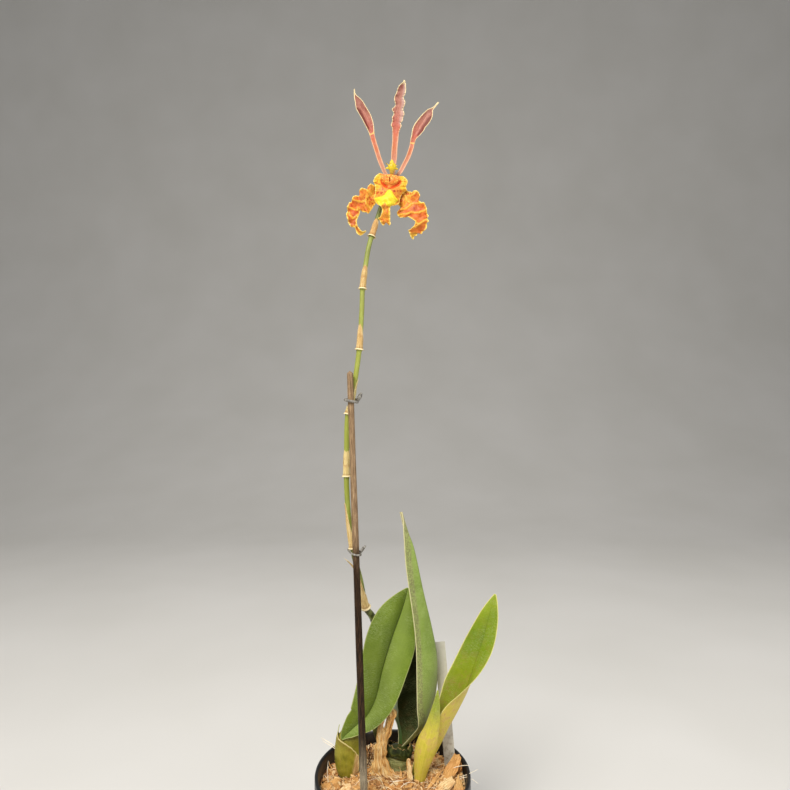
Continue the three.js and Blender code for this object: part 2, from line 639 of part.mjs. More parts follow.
const PETAL_LEFT = [
  { at: [-6.5, -8.3, 651], half: 1.3, turn: -8, fold: 6, thick: 1.5 },
  { at: [-6.6, -9.2, 656], half: 1.8, turn: -8, fold: 10, thick: 1.5 },
  { at: [-10.3, -10.5, 664.5], half: 2.2, turn: -8, fold: 12, thick: 1.5 },
  { at: [-14.7, -12, 675.5], half: 2.2, turn: -8, fold: 12, thick: 1.4 },
  { at: [-17.4, -12.5, 688], half: 2.3, turn: -8, fold: 12, thick: 1.4 },
  { at: [-19.5, -13, 694], half: 3.6, turn: -10, fold: 16, cup: 8, thick: 1.2 },
  { at: [-23, -14, 702], half: 4.9, turn: -14, fold: 20, cup: 12, thick: 1.1 },
  { at: [-26.5, -15, 709.3], half: 5, turn: -18, fold: 22, cup: 12, thick: 1 },
  { at: [-29.6, -16, 715.6], half: 3.8, turn: -18, fold: 22, cup: 12, thick: 1 },
  { at: [-32, -17, 721], half: 1.8, turn: -14, fold: 14, cup: 6, thick: 0.9 },
  { at: [-33.5, -18, 727], half: 0.6, turn: -10, fold: 5, thick: 0.9 },
];
const PETAL_RIGHT = [
  { at: [1.6, -8.8, 650], half: 1.5, turn: 8, fold: 6, thick: 1.5 },
  { at: [5.2, -9.2, 655], half: 1.8, turn: 8, fold: 10, thick: 1.5 },
  { at: [9, -10.5, 661], half: 2.2, turn: 8, fold: 12, thick: 1.5 },
  { at: [13.8, -12, 670.5], half: 2.2, turn: 8, fold: 12, thick: 1.4 },
  { at: [17.3, -12.5, 681.5], half: 2.3, turn: 8, fold: 12, thick: 1.4 },
  { at: [19.2, -13, 687.5], half: 3.6, turn: 10, fold: 16, cup: 8, thick: 1.2 },
  { at: [22.5, -14, 694], half: 4.9, turn: 14, fold: 20, cup: 12, thick: 1.1 },
  { at: [26.7, -15, 700.5], half: 5.2, turn: 18, fold: 22, cup: 12, thick: 1 },
  { at: [31, -16, 705.5], half: 4, turn: 18, fold: 22, cup: 12, thick: 1 },
  { at: [35, -17, 709], half: 1.5, turn: 14, fold: 14, cup: 6, thick: 0.9 },
  { at: [40.5, -18, 715], half: 0.6, turn: 10, fold: 5, thick: 0.9 },
];
const ARM_LEFT = [
  { at: [-5, -9.7, 646.6], half: 2.2, turn: 0, fold: 4, thick: 1.4 },
  { at: [-13, -14, 638], left: 11, right: 8.2, turn: -4, fold: 8, cup: 6, thick: 1.3 },
  { at: [-20, -17, 632.3], left: 10.6, right: 9.2, turn: -8, fold: 10, cup: 10, thick: 1.2 },
  { at: [-26.7, -19, 627.5], left: 11, right: 9.8, turn: -12, fold: 10, cup: 12, thick: 1.2 },
  { at: [-32.3, -20.5, 621.6], half: 7.4, turn: -16, fold: 10, cup: 14, thick: 1.1 },
  { at: [-35, -21, 615], left: 6, right: 5.6, turn: -18, fold: 10, cup: 14, thick: 1.1 },
  { at: [-34.4, -20.5, 609], left: 4.8, right: 4.1, turn: -16, fold: 10, cup: 12, thick: 1 },
  { at: [-31.5, -19, 604.3], half: 2.8, turn: -12, fold: 8, cup: 8, thick: 1 },
  { at: [-27.8, -17.5, 602.2], half: 1.8, turn: -6, fold: 6, cup: 4, thick: 0.9 },
  { at: [-23.6, -16, 603], half: 0.7, turn: 0, fold: 4, thick: 0.9 },
];
const ARM_RIGHT = [
  { at: [-1.2, -9.9, 646], half: 2.2, turn: 0, fold: 4, thick: 1.4 },
  { at: [7.5, -14, 633.5], left: 9, right: 9, turn: 4, fold: 8, cup: 6, thick: 1.3 },
  { at: [13, -17, 627.5], left: 12.2, right: 12.4, turn: 8, fold: 10, cup: 10, thick: 1.2 },
  { at: [18.8, -19, 622.5], left: 9.8, right: 12.4, turn: 12, fold: 10, cup: 12, thick: 1.2 },
  { at: [24, -20.5, 617], left: 8, right: 9, turn: 16, fold: 10, cup: 14, thick: 1.1 },
  { at: [26.5, -21, 611], left: 5.6, right: 6.6, turn: 18, fold: 10, cup: 14, thick: 1.1 },
  { at: [24.8, -20.5, 605.3], left: 4.5, right: 5.4, turn: 16, fold: 10, cup: 12, thick: 1 },
  { at: [21, -19, 601.2], left: 4.2, right: 4.4, turn: 12, fold: 8, cup: 8, thick: 1 },
  { at: [17.6, -17.5, 598], half: 2.8, turn: 6, fold: 6, cup: 4, thick: 0.9 },
  { at: [15.3, -16, 595.6], half: 0.9, turn: 0, fold: 4, thick: 0.9 },
];
const LIP = [
  { at: [-1.5, -14.2, 654.6], half: 7.5, fold: -8, cup: 30, thick: 1.4 },
  { at: [-1.6, -16.5, 650.5], half: 13, fold: -12, cup: 44, thick: 1.4 },
  { at: [-2, -19.5, 644.5], left: 15, right: 14.2, fold: -14, cup: 34, thick: 1.4 },
  { at: [-2.5, -23.5, 638.5], left: 12, right: 13.4, fold: -10, cup: -10, thick: 1.4 },
  { at: [-3, -26, 632], left: 10.4, right: 14, fold: -4, cup: -26, thick: 1.4 },
  { at: [-4, -26.5, 626.5], left: 9.4, right: 11.5, fold: -2, cup: -24, thick: 1.3 },
  { at: [-5.3, -25.5, 622], left: 5, right: 4.8, fold: 0, cup: -10, thick: 1.2 },
  { at: [-6, -24, 615], half: 4.8, fold: 4, cup: -6, thick: 1.1 },
  { at: [-6, -21.5, 608], left: 4.2, right: 4.2, fold: 6, cup: 0, thick: 1 },
];
const COLUMN = [
  { at: [-3.9, -6.4, 646], radius: 1.9 },
  { at: [-2.6, -8.2, 650.5], radius: 2.4 },
  { at: [-1.4, -10.8, 655.5], radius: 2.6, depth: 0.8 },
  { at: [-0.6, -13, 659], radius: 4.1, depth: 0.7 },
  { at: [-0.3, -13.6, 662.5], radius: 3.7, depth: 0.75 },
  { at: [-0.2, -13.8, 665.3], radius: 2.4, depth: 0.9 },
  { at: [-0.2, -13.8, 666.8], radius: 1, depth: 0.9 },
];

// Ruffles: the blade waves more and more toward its margins
function wavy(height, waves, phase) {
  return (t, u) => {
    const swell = Math.sin(Math.PI * Math.min(1, 1.25 * t + 0.05)) ** 0.6 || 0;
    const side = u < 0 ? 0 : 2.1;
    const edge = Math.abs(u) ** 2;
    return {
      lift: height * swell * edge * Math.sin(2 * Math.PI * waves * t + phase + side),
      spread: 1 + 0.08 * edge * swell * Math.sin(2 * Math.PI * waves * t + phase + 2 * side),
    };
  };
}

function makeColumn() {
  const wing = (foot, tip, radius) => stem([
    { at: foot, radius, depth: 0.7 },
    { at: foot.map((v, k) => (v + tip[k]) / 2 + (k === 2 ? 0.2 : 0)), radius: radius * 0.85, depth: 0.7 },
    { at: tip, radius: 0.4, depth: 1 },
  ], { sides: 5, rows: 2 });
  const body = stem(COLUMN, { sides: 10, rows: 6 });
  const wings = [
    wing([-2.5, -13, 658], [-7.6, -14.5, 658], 1.4),
    wing([1.5, -13, 658], [4.8, -14.5, 657.2], 1.4),
    wing([-2, -13.6, 661.5], [-5.8, -15.5, 664.2], 0.8),
    wing([1.5, -13.6, 661.5], [4.4, -15.2, 662.8], 0.8),
  ];
  return toGeometry(joined([body, ...wings]));
}

// Potting medium: a filling that reaches the wall, covered with husk chips and coir strands
function seeded(seed) {
  let state = seed;
  return () => {
    state = (state * 1664525 + 1013904223) % 4294967296;
    return state / 4294967296;
  };
}

const CHIP_COUNT = 66;
const CHIP_REACH = 61;

function chip(draw, x, y, level) {
  const length = 12 + 14 * draw();
  const wide = 5 + 6 * draw();
  const thick = 1.6 + 1.6 * draw();
  const body = new THREE.BoxGeometry(length, wide, thick);
  const corners = body.attributes.position;
  for (let k = 0; k < corners.count; k += 1) {
    const taper = corners.getX(k) > 0 ? 0.55 : 1;
    corners.setY(k, corners.getY(k) * taper);
  }
  body.rotateX(0.9 * (draw() - 0.5));
  body.rotateY(0.75 * (draw() - 0.5));
  body.rotateZ(2 * Math.PI * draw());
  return body.translate(x, y, level);
}

function makeMedium(holes) {
  const draw = seeded(41);
  const inside = (z) => potWall(z) - POT_WALL - CLEAR;
  const outline = [
    [0, POT_FLOOR + CLEAR],
    [inside(POT_FLOOR) - 3, POT_FLOOR + CLEAR],
    [inside(POT_FLOOR + 3), POT_FLOOR + 3],
    [inside(MEDIUM_TOP - 6), MEDIUM_TOP - 6],
    [inside(MEDIUM_TOP - 6) * 0.8, MEDIUM_TOP - 1],
    [inside(MEDIUM_TOP - 6) * 0.4, MEDIUM_TOP],
    [0, MEDIUM_TOP],
  ].map(([r, z]) => new THREE.Vector2(r, z));
  let fill = solid(new THREE.LatheGeometry(outline, 24).rotateX(Math.PI / 2));
  const chips = [];
  for (let k = 0; k < CHIP_COUNT; k += 1) {
    const radius = CHIP_REACH * Math.sqrt((k + 0.5) / CHIP_COUNT);
    const angle = k * 2.39996;
    const fall = 3.5 * (radius / CHIP_REACH) ** 4;
    chips.push(chip(draw, radius * Math.cos(angle), radius * Math.sin(angle), MEDIUM_TOP + 0.4 - fall));
  }
  const slab = new THREE.BoxGeometry(28, 13, 3).rotateY(-0.62).rotateZ(0.1);
  chips.push(slab.translate(54, 3, 110.5));
  fill = fill.add(joined(chips));
  const room = new THREE.LatheGeometry([
    [0, POT_FLOOR + CLEAR],
    [inside(POT_FLOOR) - 3, POT_FLOOR + CLEAR],
    [inside(POT_FLOOR + 3), POT_FLOOR + 3],
    [inside(MEDIUM_TOP), MEDIUM_TOP],
    [inside(MEDIUM_TOP), MEDIUM_TOP + 30],
    [0, MEDIUM_TOP + 30],
  ].map(([r, z]) => new THREE.Vector2(r, z)), 24).rotateX(Math.PI / 2);
  fill = fill.intersect(solid(room)).simplify(0.8);
  for (const hole of holes) {
    fill = fill.subtract(hole);
  }
  return toGeometry(fill);
}

// Plain holes for what stands in the medium
function hole(x, y, low, radius, depth = 1) {
  const cut = new THREE.CylinderGeometry(radius, radius, 60, 10).rotateX(Math.PI / 2);
  cut.scale(1, depth, 1);
  return solid(cut.translate(x, y, low + 30));
}

function makeHoles() {
  return [
    solid(stakeRod(CLEAR)),
    solid(labelBlade(2 * CLEAR)),
    rhizomeBody(CLEAR),
    solid(bulb(BULB_LEFT, CLEAR + 0.3)),
    solid(bulb(BULB_CENTER, CLEAR + 0.3)),
    hole(-41, 12.5, 107.6, 13, 0.75),
    hole(22, 4, 107.9, 12, 0.85),
    hole(-10.5, 4, 107.2, 11.5, 0.55),
    hole(15, -4, 107.6, 4.6),
    hole(13.5, 8.5, 107.6, 5),
    hole(4, 13.5, 107.8, 12, 0.8),
    hole(-5, 24, 107.5, 4.4),
  ];
}

makePot();
add('potting_medium', makeMedium(makeHoles()), HUSK);
add('rhizome_roots', toGeometry(rhizomeBody()), ROOT);
add('pseudobulb_left', bulb(BULB_LEFT), OLIVE);
add('pseudobulb_center', bulb(BULB_CENTER), GREY_GREEN);
add('leaf_left', blade(LEAF_LEFT, { columns: 8, rows: 20 }), LEAF_GREEN);
add('leaf_center', blade(LEAF_CENTER, { columns: 10, rows: 22 }), SILVER_GREEN);
add('leaf_right', blade(LEAF_RIGHT, { columns: 8, rows: 20 }), BRIGHT_GREEN);
add('sheath_left', blade(SHEATH_LEFT, { columns: 8, rows: 7 }), OLIVE);
add('sheath_right', blade(SHEATH_RIGHT, { columns: 4, rows: 7 }), OLIVE);
add('sheath_dry', blade(SHEATH_DRY, { columns: 4, rows: 5 }), DRY);
add('old_sheath', toGeometry(joined(OLD_STRANDS.map((s) => stem(s, { sides: 8, rows: 10 })))), DRY);
add('flower_spike', stem(SPIKE, { sides: 8, rows: SPIKE_ROWS }), STEM_GREEN);
BRACTS.forEach((place, k) => add(`bract_${k + 1}`, bract(place), PAPERY));
add('stake', stakeRod(), WOOD);
TIES.forEach((place) => add(place.name, tie(place), WIRE));
add('plant_label', labelBlade(), WHITE_PLASTIC);
add('column', makeColumn(), YELLOW);
add('dorsal_sepal', blade(DORSAL_SEPAL, { columns: 4, rows: 20, ruffle: wavy(0.5, 5, 0.4) }), MAUVE);
add('petal_left', blade(PETAL_LEFT, { columns: 4, rows: 16 }), MAUVE);
add('petal_right', blade(PETAL_RIGHT, { columns: 4, rows: 16 }), MAUVE);
add('lateral_sepal_left', blade(ARM_LEFT, { columns: 6, rows: 30, ruffle: wavy(1.8, 6, 0.3) }), ORANGE);
add('lateral_sepal_right', blade(ARM_RIGHT, { columns: 6, rows: 30, ruffle: wavy(1.8, 6, 1.2) }), ORANGE);
add('lip', blade(LIP, { columns: 8, rows: 18, ruffle: wavy(1.2, 4, 0.8) }), YELLOW);

export default plant;
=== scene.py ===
"""A potted psychopsis orchid in bloom, built around its solids. Sizes are millimetres until a mesh is made"""

import math

import bpy
import numpy as np
from mathutils import Matrix, Vector


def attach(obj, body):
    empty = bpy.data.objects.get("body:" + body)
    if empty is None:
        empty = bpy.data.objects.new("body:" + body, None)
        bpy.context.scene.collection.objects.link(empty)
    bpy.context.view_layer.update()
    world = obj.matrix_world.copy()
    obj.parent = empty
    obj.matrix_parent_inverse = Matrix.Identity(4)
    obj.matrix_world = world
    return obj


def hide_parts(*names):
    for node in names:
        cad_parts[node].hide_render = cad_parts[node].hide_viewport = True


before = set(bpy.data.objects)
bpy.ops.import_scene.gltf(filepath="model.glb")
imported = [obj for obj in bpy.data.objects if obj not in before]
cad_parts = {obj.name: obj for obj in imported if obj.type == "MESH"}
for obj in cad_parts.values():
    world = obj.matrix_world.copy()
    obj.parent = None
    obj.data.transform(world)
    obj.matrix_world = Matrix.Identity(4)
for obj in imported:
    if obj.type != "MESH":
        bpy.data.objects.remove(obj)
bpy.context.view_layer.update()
MM = 0.001

# Studio: a pale floor that rolls up into a backdrop behind the pot, lit by large soft panels.
# The camera is level with the middle of the spike, a little over half a metre in front of it.
CAMERA = (2.07, -560, 459)
LENS = 28.25
bpy.ops.object.select_all(action="DESELECT")
bpy.ops.object.camera_add(location=[c * MM for c in CAMERA], rotation=(math.radians(90), 0, 0))
bpy.context.object.data.lens = LENS
bpy.context.scene.camera = bpy.context.object


def soft_light(name, place, aim, size, power, tint=(1, 1, 1)):
    """A square light panel that looks at a point"""
    bpy.ops.object.light_add(type="AREA", location=place)
    lamp = bpy.context.object
    lamp.name = name
    lamp.data.size = size
    lamp.data.energy = power
    lamp.data.color = tint
    away = np.array(aim, float) - np.array(place, float)
    lamp.rotation_euler = (
        math.atan2(math.hypot(away[0], away[1]), -away[2]), 0, math.atan2(away[1], away[0]) - math.pi / 2)


soft_light("key_light", (-0.5, -1.15, 1.55), (0, 0, 0.35), 0.8, 36, (1, 0.97, 0.91))
soft_light("side_light", (1.5, -0.8, 0.9), (0, 0, 0.3), 1.0, 10, (1, 0.98, 0.95))
soft_light("top_light", (0.1, 0.2, 1.9), (0, 0, 0.1), 1.2, 12, (1, 0.98, 0.94))

world = bpy.data.worlds.new("studio")
world.use_nodes = True
world.node_tree.nodes["Background"].inputs["Color"].default_value = (0.86, 0.86, 0.85, 1)
world.node_tree.nodes["Background"].inputs["Strength"].default_value = 0.3
bpy.context.scene.world = world
bpy.context.scene.view_settings.view_transform = "Standard"

FLOOR_REACH = 3
BACKDROP_HEIGHT = 3.5
BACKDROP_CURVE = 1.6
bpy.ops.mesh.primitive_plane_add(size=2 * FLOOR_REACH)
floor = bpy.context.object
floor.name = "floor"
bpy.ops.object.mode_set(mode="EDIT")
bpy.ops.mesh.select_mode(type="EDGE")
bpy.ops.mesh.select_all(action="DESELECT")
bpy.ops.object.mode_set(mode="OBJECT")
for edge in floor.data.edges:
    edge.select = all(floor.data.vertices[k].co.y > 0 for k in edge.vertices)
bpy.ops.object.mode_set(mode="EDIT")
bpy.ops.mesh.extrude_region_move(TRANSFORM_OT_translate={"value": (0, 0, BACKDROP_HEIGHT)})
bpy.ops.object.mode_set(mode="OBJECT")
for edge in floor.data.edges:
    edge.select = all(v.co.y > 0 and v.co.z < 1 for v in (floor.data.vertices[k] for k in edge.vertices))
bpy.ops.object.mode_set(mode="EDIT")
bpy.ops.mesh.bevel(offset=BACKDROP_CURVE, segments=24)
bpy.ops.object.mode_set(mode="OBJECT")
bpy.ops.object.shade_smooth()


def linear(red, green, blue):
    """A colour as a screen shows it, 0 to 255, made ready for a shader"""
    return tuple(((c / 255 + 0.055) / 1.055) ** 2.4 if c > 10 else c / 3295
                 for c in (red, green, blue)) + (1,)


class Finish:
    """A material under way. Each call adds a node and gives its output. Colours are as a screen shows them"""

    def __init__(self, name, **sockets):
        self.material = bpy.data.materials.new(name)
        self.material.use_nodes = True
        self.tree = self.material.node_tree
        self.shader = self.tree.nodes["Principled BSDF"]
        self.wear(**sockets)

    def wear(self, **sockets):
        """Sets numbers, or leads outputs, to the shader"""
        for socket, value in sockets.items():
            self.feed(self.shader.inputs[socket.replace("_", " ")], value)
        return self.material

    def feed(self, socket, value):
        if isinstance(value, bpy.types.NodeSocket):
            self.tree.links.new(value, socket)
        else:
            socket.default_value = value

    def add(self, kind, inputs, output=0, **settings):
        node = self.tree.nodes.new("ShaderNode" + kind)
        for key, value in settings.items():
            setattr(node, key, value)
        for key, value in inputs.items():
            self.feed(node.inputs[key], value)
        return node.outputs[output]

    def place(self, attribute=None):
        """Where a point is: on the object, or along the piece's own attribute"""
        if attribute:
            return self.add("Attribute", {}, "Vector", attribute_name=attribute)
        return self.add("TexCoord", {}, "Object")

    def tone(self):
        """The lightness that each strewn piece was given"""
        return self.add("Attribute", {}, "Fac", attribute_name="tone")

    def part(self, vector, axis):
        return self.add("SeparateXYZ", {0: vector}, "XYZ".index(axis))

    def stretch(self, vector, scale):
        return self.add("Mapping", {"Vector": vector, "Scale": scale})

    def noise(self, vector, scale, detail=3, rough=0.55, twist=0):
        inputs = {"Vector": vector, "Scale": scale, "Detail": detail, "Roughness": rough,
                  "Distortion": twist}
        return self.add("TexNoise", inputs, "Fac")

    def cells(self, vector, scale, feature="F1"):
        return self.add("TexVoronoi", {"Vector": vector, "Scale": scale}, "Distance", feature=feature)

    def calc(self, operation, *values):
        return self.add("Math", dict(enumerate(values)), operation=operation)

    def plus(self, first, second):
        return self.calc("ADD", first, second)

    def less(self, first, second):
        return self.calc("SUBTRACT", first, second)

    def times(self, first, second, *more):
        product = self.calc("MULTIPLY", first, second)
        return self.times(product, *more) if more else product

    def size(self, value):
        return self.calc("ABSOLUTE", value)

    def step(self, value, low, high, start=0.0, end=1.0):
        """Runs from start to end, smoothly, while a value goes from low to high"""
        inputs = {"Value": value, "From Min": low, "From Max": high, "To Min": start, "To Max": end}
        return self.add("MapRange", inputs, interpolation_type="SMOOTHSTEP")

    def ramp(self, value, *stops):
        node = self.tree.nodes.new("ShaderNodeValToRGB")
        self.feed(node.inputs[0], value)
        marks = node.color_ramp.elements
        while len(marks) < len(stops):
            marks.new(0.5)
        for mark, (at, colour) in zip(marks, stops):
            mark.position = at
            mark.color = linear(*colour)
        return node.outputs[0]

    def blend(self, share, first, second, mode="MIX"):
        first, second = (linear(*c) if isinstance(c, tuple) else c for c in (first, second))
        return self.add("Mix", {0: share, 6: first, 7: second}, 2, data_type="RGBA", blend_type=mode)

    def relief(self, height, depth, strength=1.0, under=None):
        """Bump of a depth in millimetres"""
        inputs = {"Height": height, "Distance": depth * MM, "Strength": strength}
        if under is not None:
            inputs["Normal"] = under
        return self.add("Bump", inputs)


floor_paint = Finish("pale_floor", Roughness=0.85)
floor_mottle = floor_paint.noise(floor_paint.place(), 3, 2)
floor.data.materials.append(floor_paint.wear(
    Base_Color=floor_paint.ramp(floor_mottle, (0.3, (212, 210, 206)), (0.7, (218, 216, 213)))))

# Pot: a round nursery pot, moulded in thin black plastic with a rolled rim and drain holes.
# Its profile is spun round, and the holes are bored through the floor.
POT_PROFILE = [  # distance from the middle, and height
    (0, 0.7), (30, 0.7), (32, 0), (48.2, 0), (49.6, 0.5), (50.2, 1.8), (51.6, 10), (53.2, 20), (56.4, 40),
    (59.6, 60), (62.8, 80), (66, 100), (67.2, 107), (67.5, 108.6), (68.1, 109), (69.3, 109), (69.9, 109.3),
    (70, 110), (70, 113), (69.85, 113.4), (70, 113.8), (70, 118.2), (69.7, 119.2), (69.1, 119.8),
    (68.4, 120), (67.6, 119.8), (67, 119.2), (66.7, 118.2), (66.3, 115), (65.95, 109), (65.6, 107),
    (64.4, 100), (61.2, 80), (58, 60), (54.8, 40), (51.6, 20), (50, 10), (49.1, 4.5), (48.3, 2.7),
    (46.5, 2.1), (30, 2), (0, 2)]
DRAIN_RADIUS = 4
DRAIN_RING = 35
DRAIN_COUNT = 6
SPIN_STEPS = 144


def new_grid(name, points):
    """A flat grid with one vertex for each point of a table of points, moved onto them"""
    rows, columns = points.shape[:2]
    bpy.ops.object.select_all(action="DESELECT")
    bpy.ops.mesh.primitive_grid_add(x_subdivisions=columns - 1, y_subdivisions=rows - 1, size=1)
    piece = bpy.context.object
    piece.name = piece.data.name = name
    piece.data.vertices.foreach_set("co", (points * MM).astype(np.float32).ravel())
    return piece


def sewn(piece, gap=2e-6):
    """Sews the seam and the poles, and smooths the surface"""
    bpy.ops.object.mode_set(mode="EDIT")
    bpy.ops.mesh.select_all(action="SELECT")
    bpy.ops.mesh.remove_doubles(threshold=gap)
    bpy.ops.object.mode_set(mode="OBJECT")
    bpy.ops.object.shade_smooth()
    return piece


def fit(piece, material, slot, *nodes):
    """Gives a piece its material and sets it on the plant in place of its solids"""
    piece.data.materials.clear()
    piece.data.materials.append(material)
    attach(piece, "root")
    if nodes:
        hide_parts(*nodes)
    return piece


turns = np.linspace(0, 2 * math.pi, SPIN_STEPS + 1)
profile = np.array(POT_PROFILE, float)
pot = sewn(new_grid("pot_shell", np.stack([
    profile[:, :1] * np.cos(turns), profile[:, :1] * np.sin(turns), profile[:, 1:] * np.ones_like(turns)],
    axis=2)))
for k in range(DRAIN_COUNT):
    angle = 2 * math.pi * (k + 0.5) / DRAIN_COUNT
    bpy.ops.mesh.primitive_cylinder_add(
        vertices=32, radius=DRAIN_RADIUS * MM, depth=8 * MM,
        location=(DRAIN_RING * MM * math.cos(angle), DRAIN_RING * MM * math.sin(angle), 0))
    drill = bpy.context.object
    bpy.ops.object.select_all(action="DESELECT")
    bpy.context.view_layer.objects.active = pot
    bore = pot.modifiers.new("drain", "BOOLEAN")
    bore.operation = "DIFFERENCE"
    bore.object = drill
    bpy.ops.object.modifier_apply(modifier=bore.name)
    bpy.data.objects.remove(drill)
pot.select_set(True)
bpy.ops.object.shade_smooth_by_angle(angle=math.radians(40))

pot_paint = Finish("black_pot", IOR=1.49, Specular_IOR_Level=0.5)
where = pot_paint.place()
dust = pot_paint.noise(where, 60, 5, 0.65)
scuff = pot_paint.noise(pot_paint.stretch(where, (1, 1, 9)), 90, 4, 0.7)
height_on_pot = pot_paint.part(where, "Z")
dusty = pot_paint.times(pot_paint.step(dust, 0.5, 0.75), pot_paint.step(height_on_pot, 0.095, 0.119))
pot_colour = pot_paint.blend(dusty, (11, 11, 12), (44, 40, 35))
pot_grain = pot_paint.relief(pot_paint.noise(where, 1400, 2), 0.03, 0.5)
fit(pot, pot_paint.wear(
    Base_Color=pot_colour, Roughness=pot_paint.step(scuff, 0.3, 0.8, 0.36, 0.55),
    Normal=pot_paint.relief(scuff, 0.08, 0.4, pot_grain)), "pot", "pot")

# Potting medium: coconut husk chips and coir, heaped round the growths. A dark filling lies under loose
# chips and shreds, each cut once and strewn, with thin fibres between them and a few big slabs at the right.
MEDIUM_TOP = 106.5
FILL_REACH = 64.6
CHIP_REACH = 64.2
CHIP_LIMIT = 65.3
strew = np.random.default_rng(41)


def ground(x, y):
    """Height of the medium: a mound round the growths and a smaller one by the label"""
    mound = 6.5 * np.exp(-((x + 4) ** 2 + (y - 6) ** 2) / 2600)
    mound = mound + 5 * np.exp(-((x - 50) ** 2 + (y - 6) ** 2) / 300)
    return MEDIUM_TOP + mound - 4 * (np.hypot(x, y) / CHIP_REACH) ** 4


rings_out = np.linspace(0, 1, 40)[:, None]
fill_x, fill_y = FILL_REACH * rings_out * np.cos(turns), FILL_REACH * rings_out * np.sin(turns)
fill_z = ground(fill_x, fill_y) - 1.2 + 1.3 * np.sin(0.33 * fill_x + 1) * np.sin(0.41 * fill_y)
fill_top = np.stack([fill_x, fill_y, fill_z], axis=2)[::-1]
wall_points = [np.stack([r * np.cos(turns), r * np.sin(turns), z * np.ones_like(turns)], axis=1)
               for r, z in ((0, 2.5), (44, 2.5), (48.6, 6), (62, 86))]
fill = sewn(new_grid("medium_filling", np.concatenate([np.array(wall_points), fill_top])))
soil = Finish("dark_filling", Roughness=0.95, Specular_IOR_Level=0.1)
where = soil.place()
crumbs = soil.noise(where, 420, 5, 0.7)
soil_colour = soil.ramp(crumbs, (0.35, (14, 9, 6)), (0.55, (44, 28, 17)), (0.72, (104, 68, 40)))
fit(fill, soil.wear(Base_Color=soil_colour, Normal=soil.relief(crumbs, 1.2)), "medium", "potting_medium")


def turned(tilt, roll, heading):
    """Turning matrices for strewn pieces, from a tilt, a roll and a heading each, in radians"""
    zero, one = np.zeros(len(heading)), np.ones(len(heading))
    (sin_t, cos_t), (sin_r, cos_r), (sin_h, cos_h) = ((np.sin(a), np.cos(a)) for a in (tilt, roll, heading))
    yaw = np.array([[cos_h, -sin_h, zero], [sin_h, cos_h, zero], [zero, zero, one]])
    pitch = np.array([[cos_t, zero, sin_t], [zero, one, zero], [-sin_t, zero, cos_t]])
    twist = np.array([[one, zero, zero], [zero, cos_r, -sin_r], [zero, sin_r, cos_r]])
    return np.einsum("ijn,jkn,kln->nil", yaw, pitch, twist)


def strewn_mesh(name, points, faces, fields):
    """One mesh from many like pieces: points is pieces by corners by 3, and the faces repeat"""
    pieces, corners = points.shape[:2]
    every = (np.arange(pieces)[:, None, None] * corners + faces[None]).reshape(-1, faces.shape[1])
    mesh = bpy.data.meshes.new(name)
    mesh.from_pydata((points.reshape(-1, 3) * MM).tolist(), [], every.tolist())
    for label, values in fields.items():
        kind = "FLOAT_VECTOR" if values.ndim == 3 else "FLOAT"
        layer = mesh.attributes.new(label, kind, "POINT")
        layer.data.foreach_set("vector" if values.ndim == 3 else "value", values.astype(np.float32).ravel())
    piece = bpy.data.objects.new(name, mesh)
    bpy.context.scene.collection.objects.link(piece)
    return piece


# A torn block, to cut chips and shreds from
bpy.ops.mesh.primitive_cube_add(size=1)
block = bpy.context.object
bpy.ops.object.mode_set(mode="EDIT")
bpy.ops.mesh.subdivide(number_cuts=2)
bpy.ops.mesh.quads_convert_to_tris()
bpy.ops.object.mode_set(mode="OBJECT")
chip_points = np.array([v.co for v in block.data.vertices])
chip_faces = np.array([list(f.vertices) for f in block.data.polygons])
bpy.data.objects.remove(block)
# Where stems, leaves, stake and label stand, as centre and half sizes
STANDING = np.array([(-40, 9, 13, 8), (5, 12.5, 12, 8.5), (24, 1, 8, 7), (-10, 4, 8, 5), (-4.5, 24, 4, 4),
                     (-23.5, -37.8, 3.6, 3.6), (53, 19.5, 6, 2.4), (15, -5, 3, 3)])
SLABS = [  # x, y, above the ground, heading, tilt, length, width, depth: big pieces that lean at the right
    (52, 4, 5, 1.05, -0.42, 30, 9, 3.4), (44, -14, 3.5, 0.7, -0.2, 24, 8, 3),
    (58, -14, 4, 1.4, -0.3, 22, 7, 3),
    (33, -12, 2.6, 0.9, -0.3, 30, 2.4, 1.4), (-52, 24, 2, 2.2, 0.3, 18, 6, 2.5),
    (-55, -6, 2.5, 0.9, -0.35, 16, 5, 2),
    (-30, -14, 2, 2.8, 0.2, 17, 5, 2.4), (2, -16, 2.4, 0.4, -0.15, 15, 6, 2.2),
    (60, 12, 5, 0.5, -0.5, 16, 5, 2.4)]
CHIPS = [  # how many, their lengths, widths and depths, how far they lie above the ground, and how they tilt
    ("husk_shreds", 1900, (3.5, 12), (0.5, 1.5), (0.35, 0.9), 0.9, 0.42),
    ("husk_chips_small", 850, (3, 8), (1.4, 3.4), (0.8, 1.8), 0.1, 0.5),
    ("husk_chips_middle", 520, (6, 13), (2.6, 5.4), (1.1, 2.6), 0.5, 0.4),
    ("husk_slabs", len(SLABS), None, None, None, 0, 0)]
SHRED_BOW, CHIP_BOW = 2.2, 0.35
chips = []
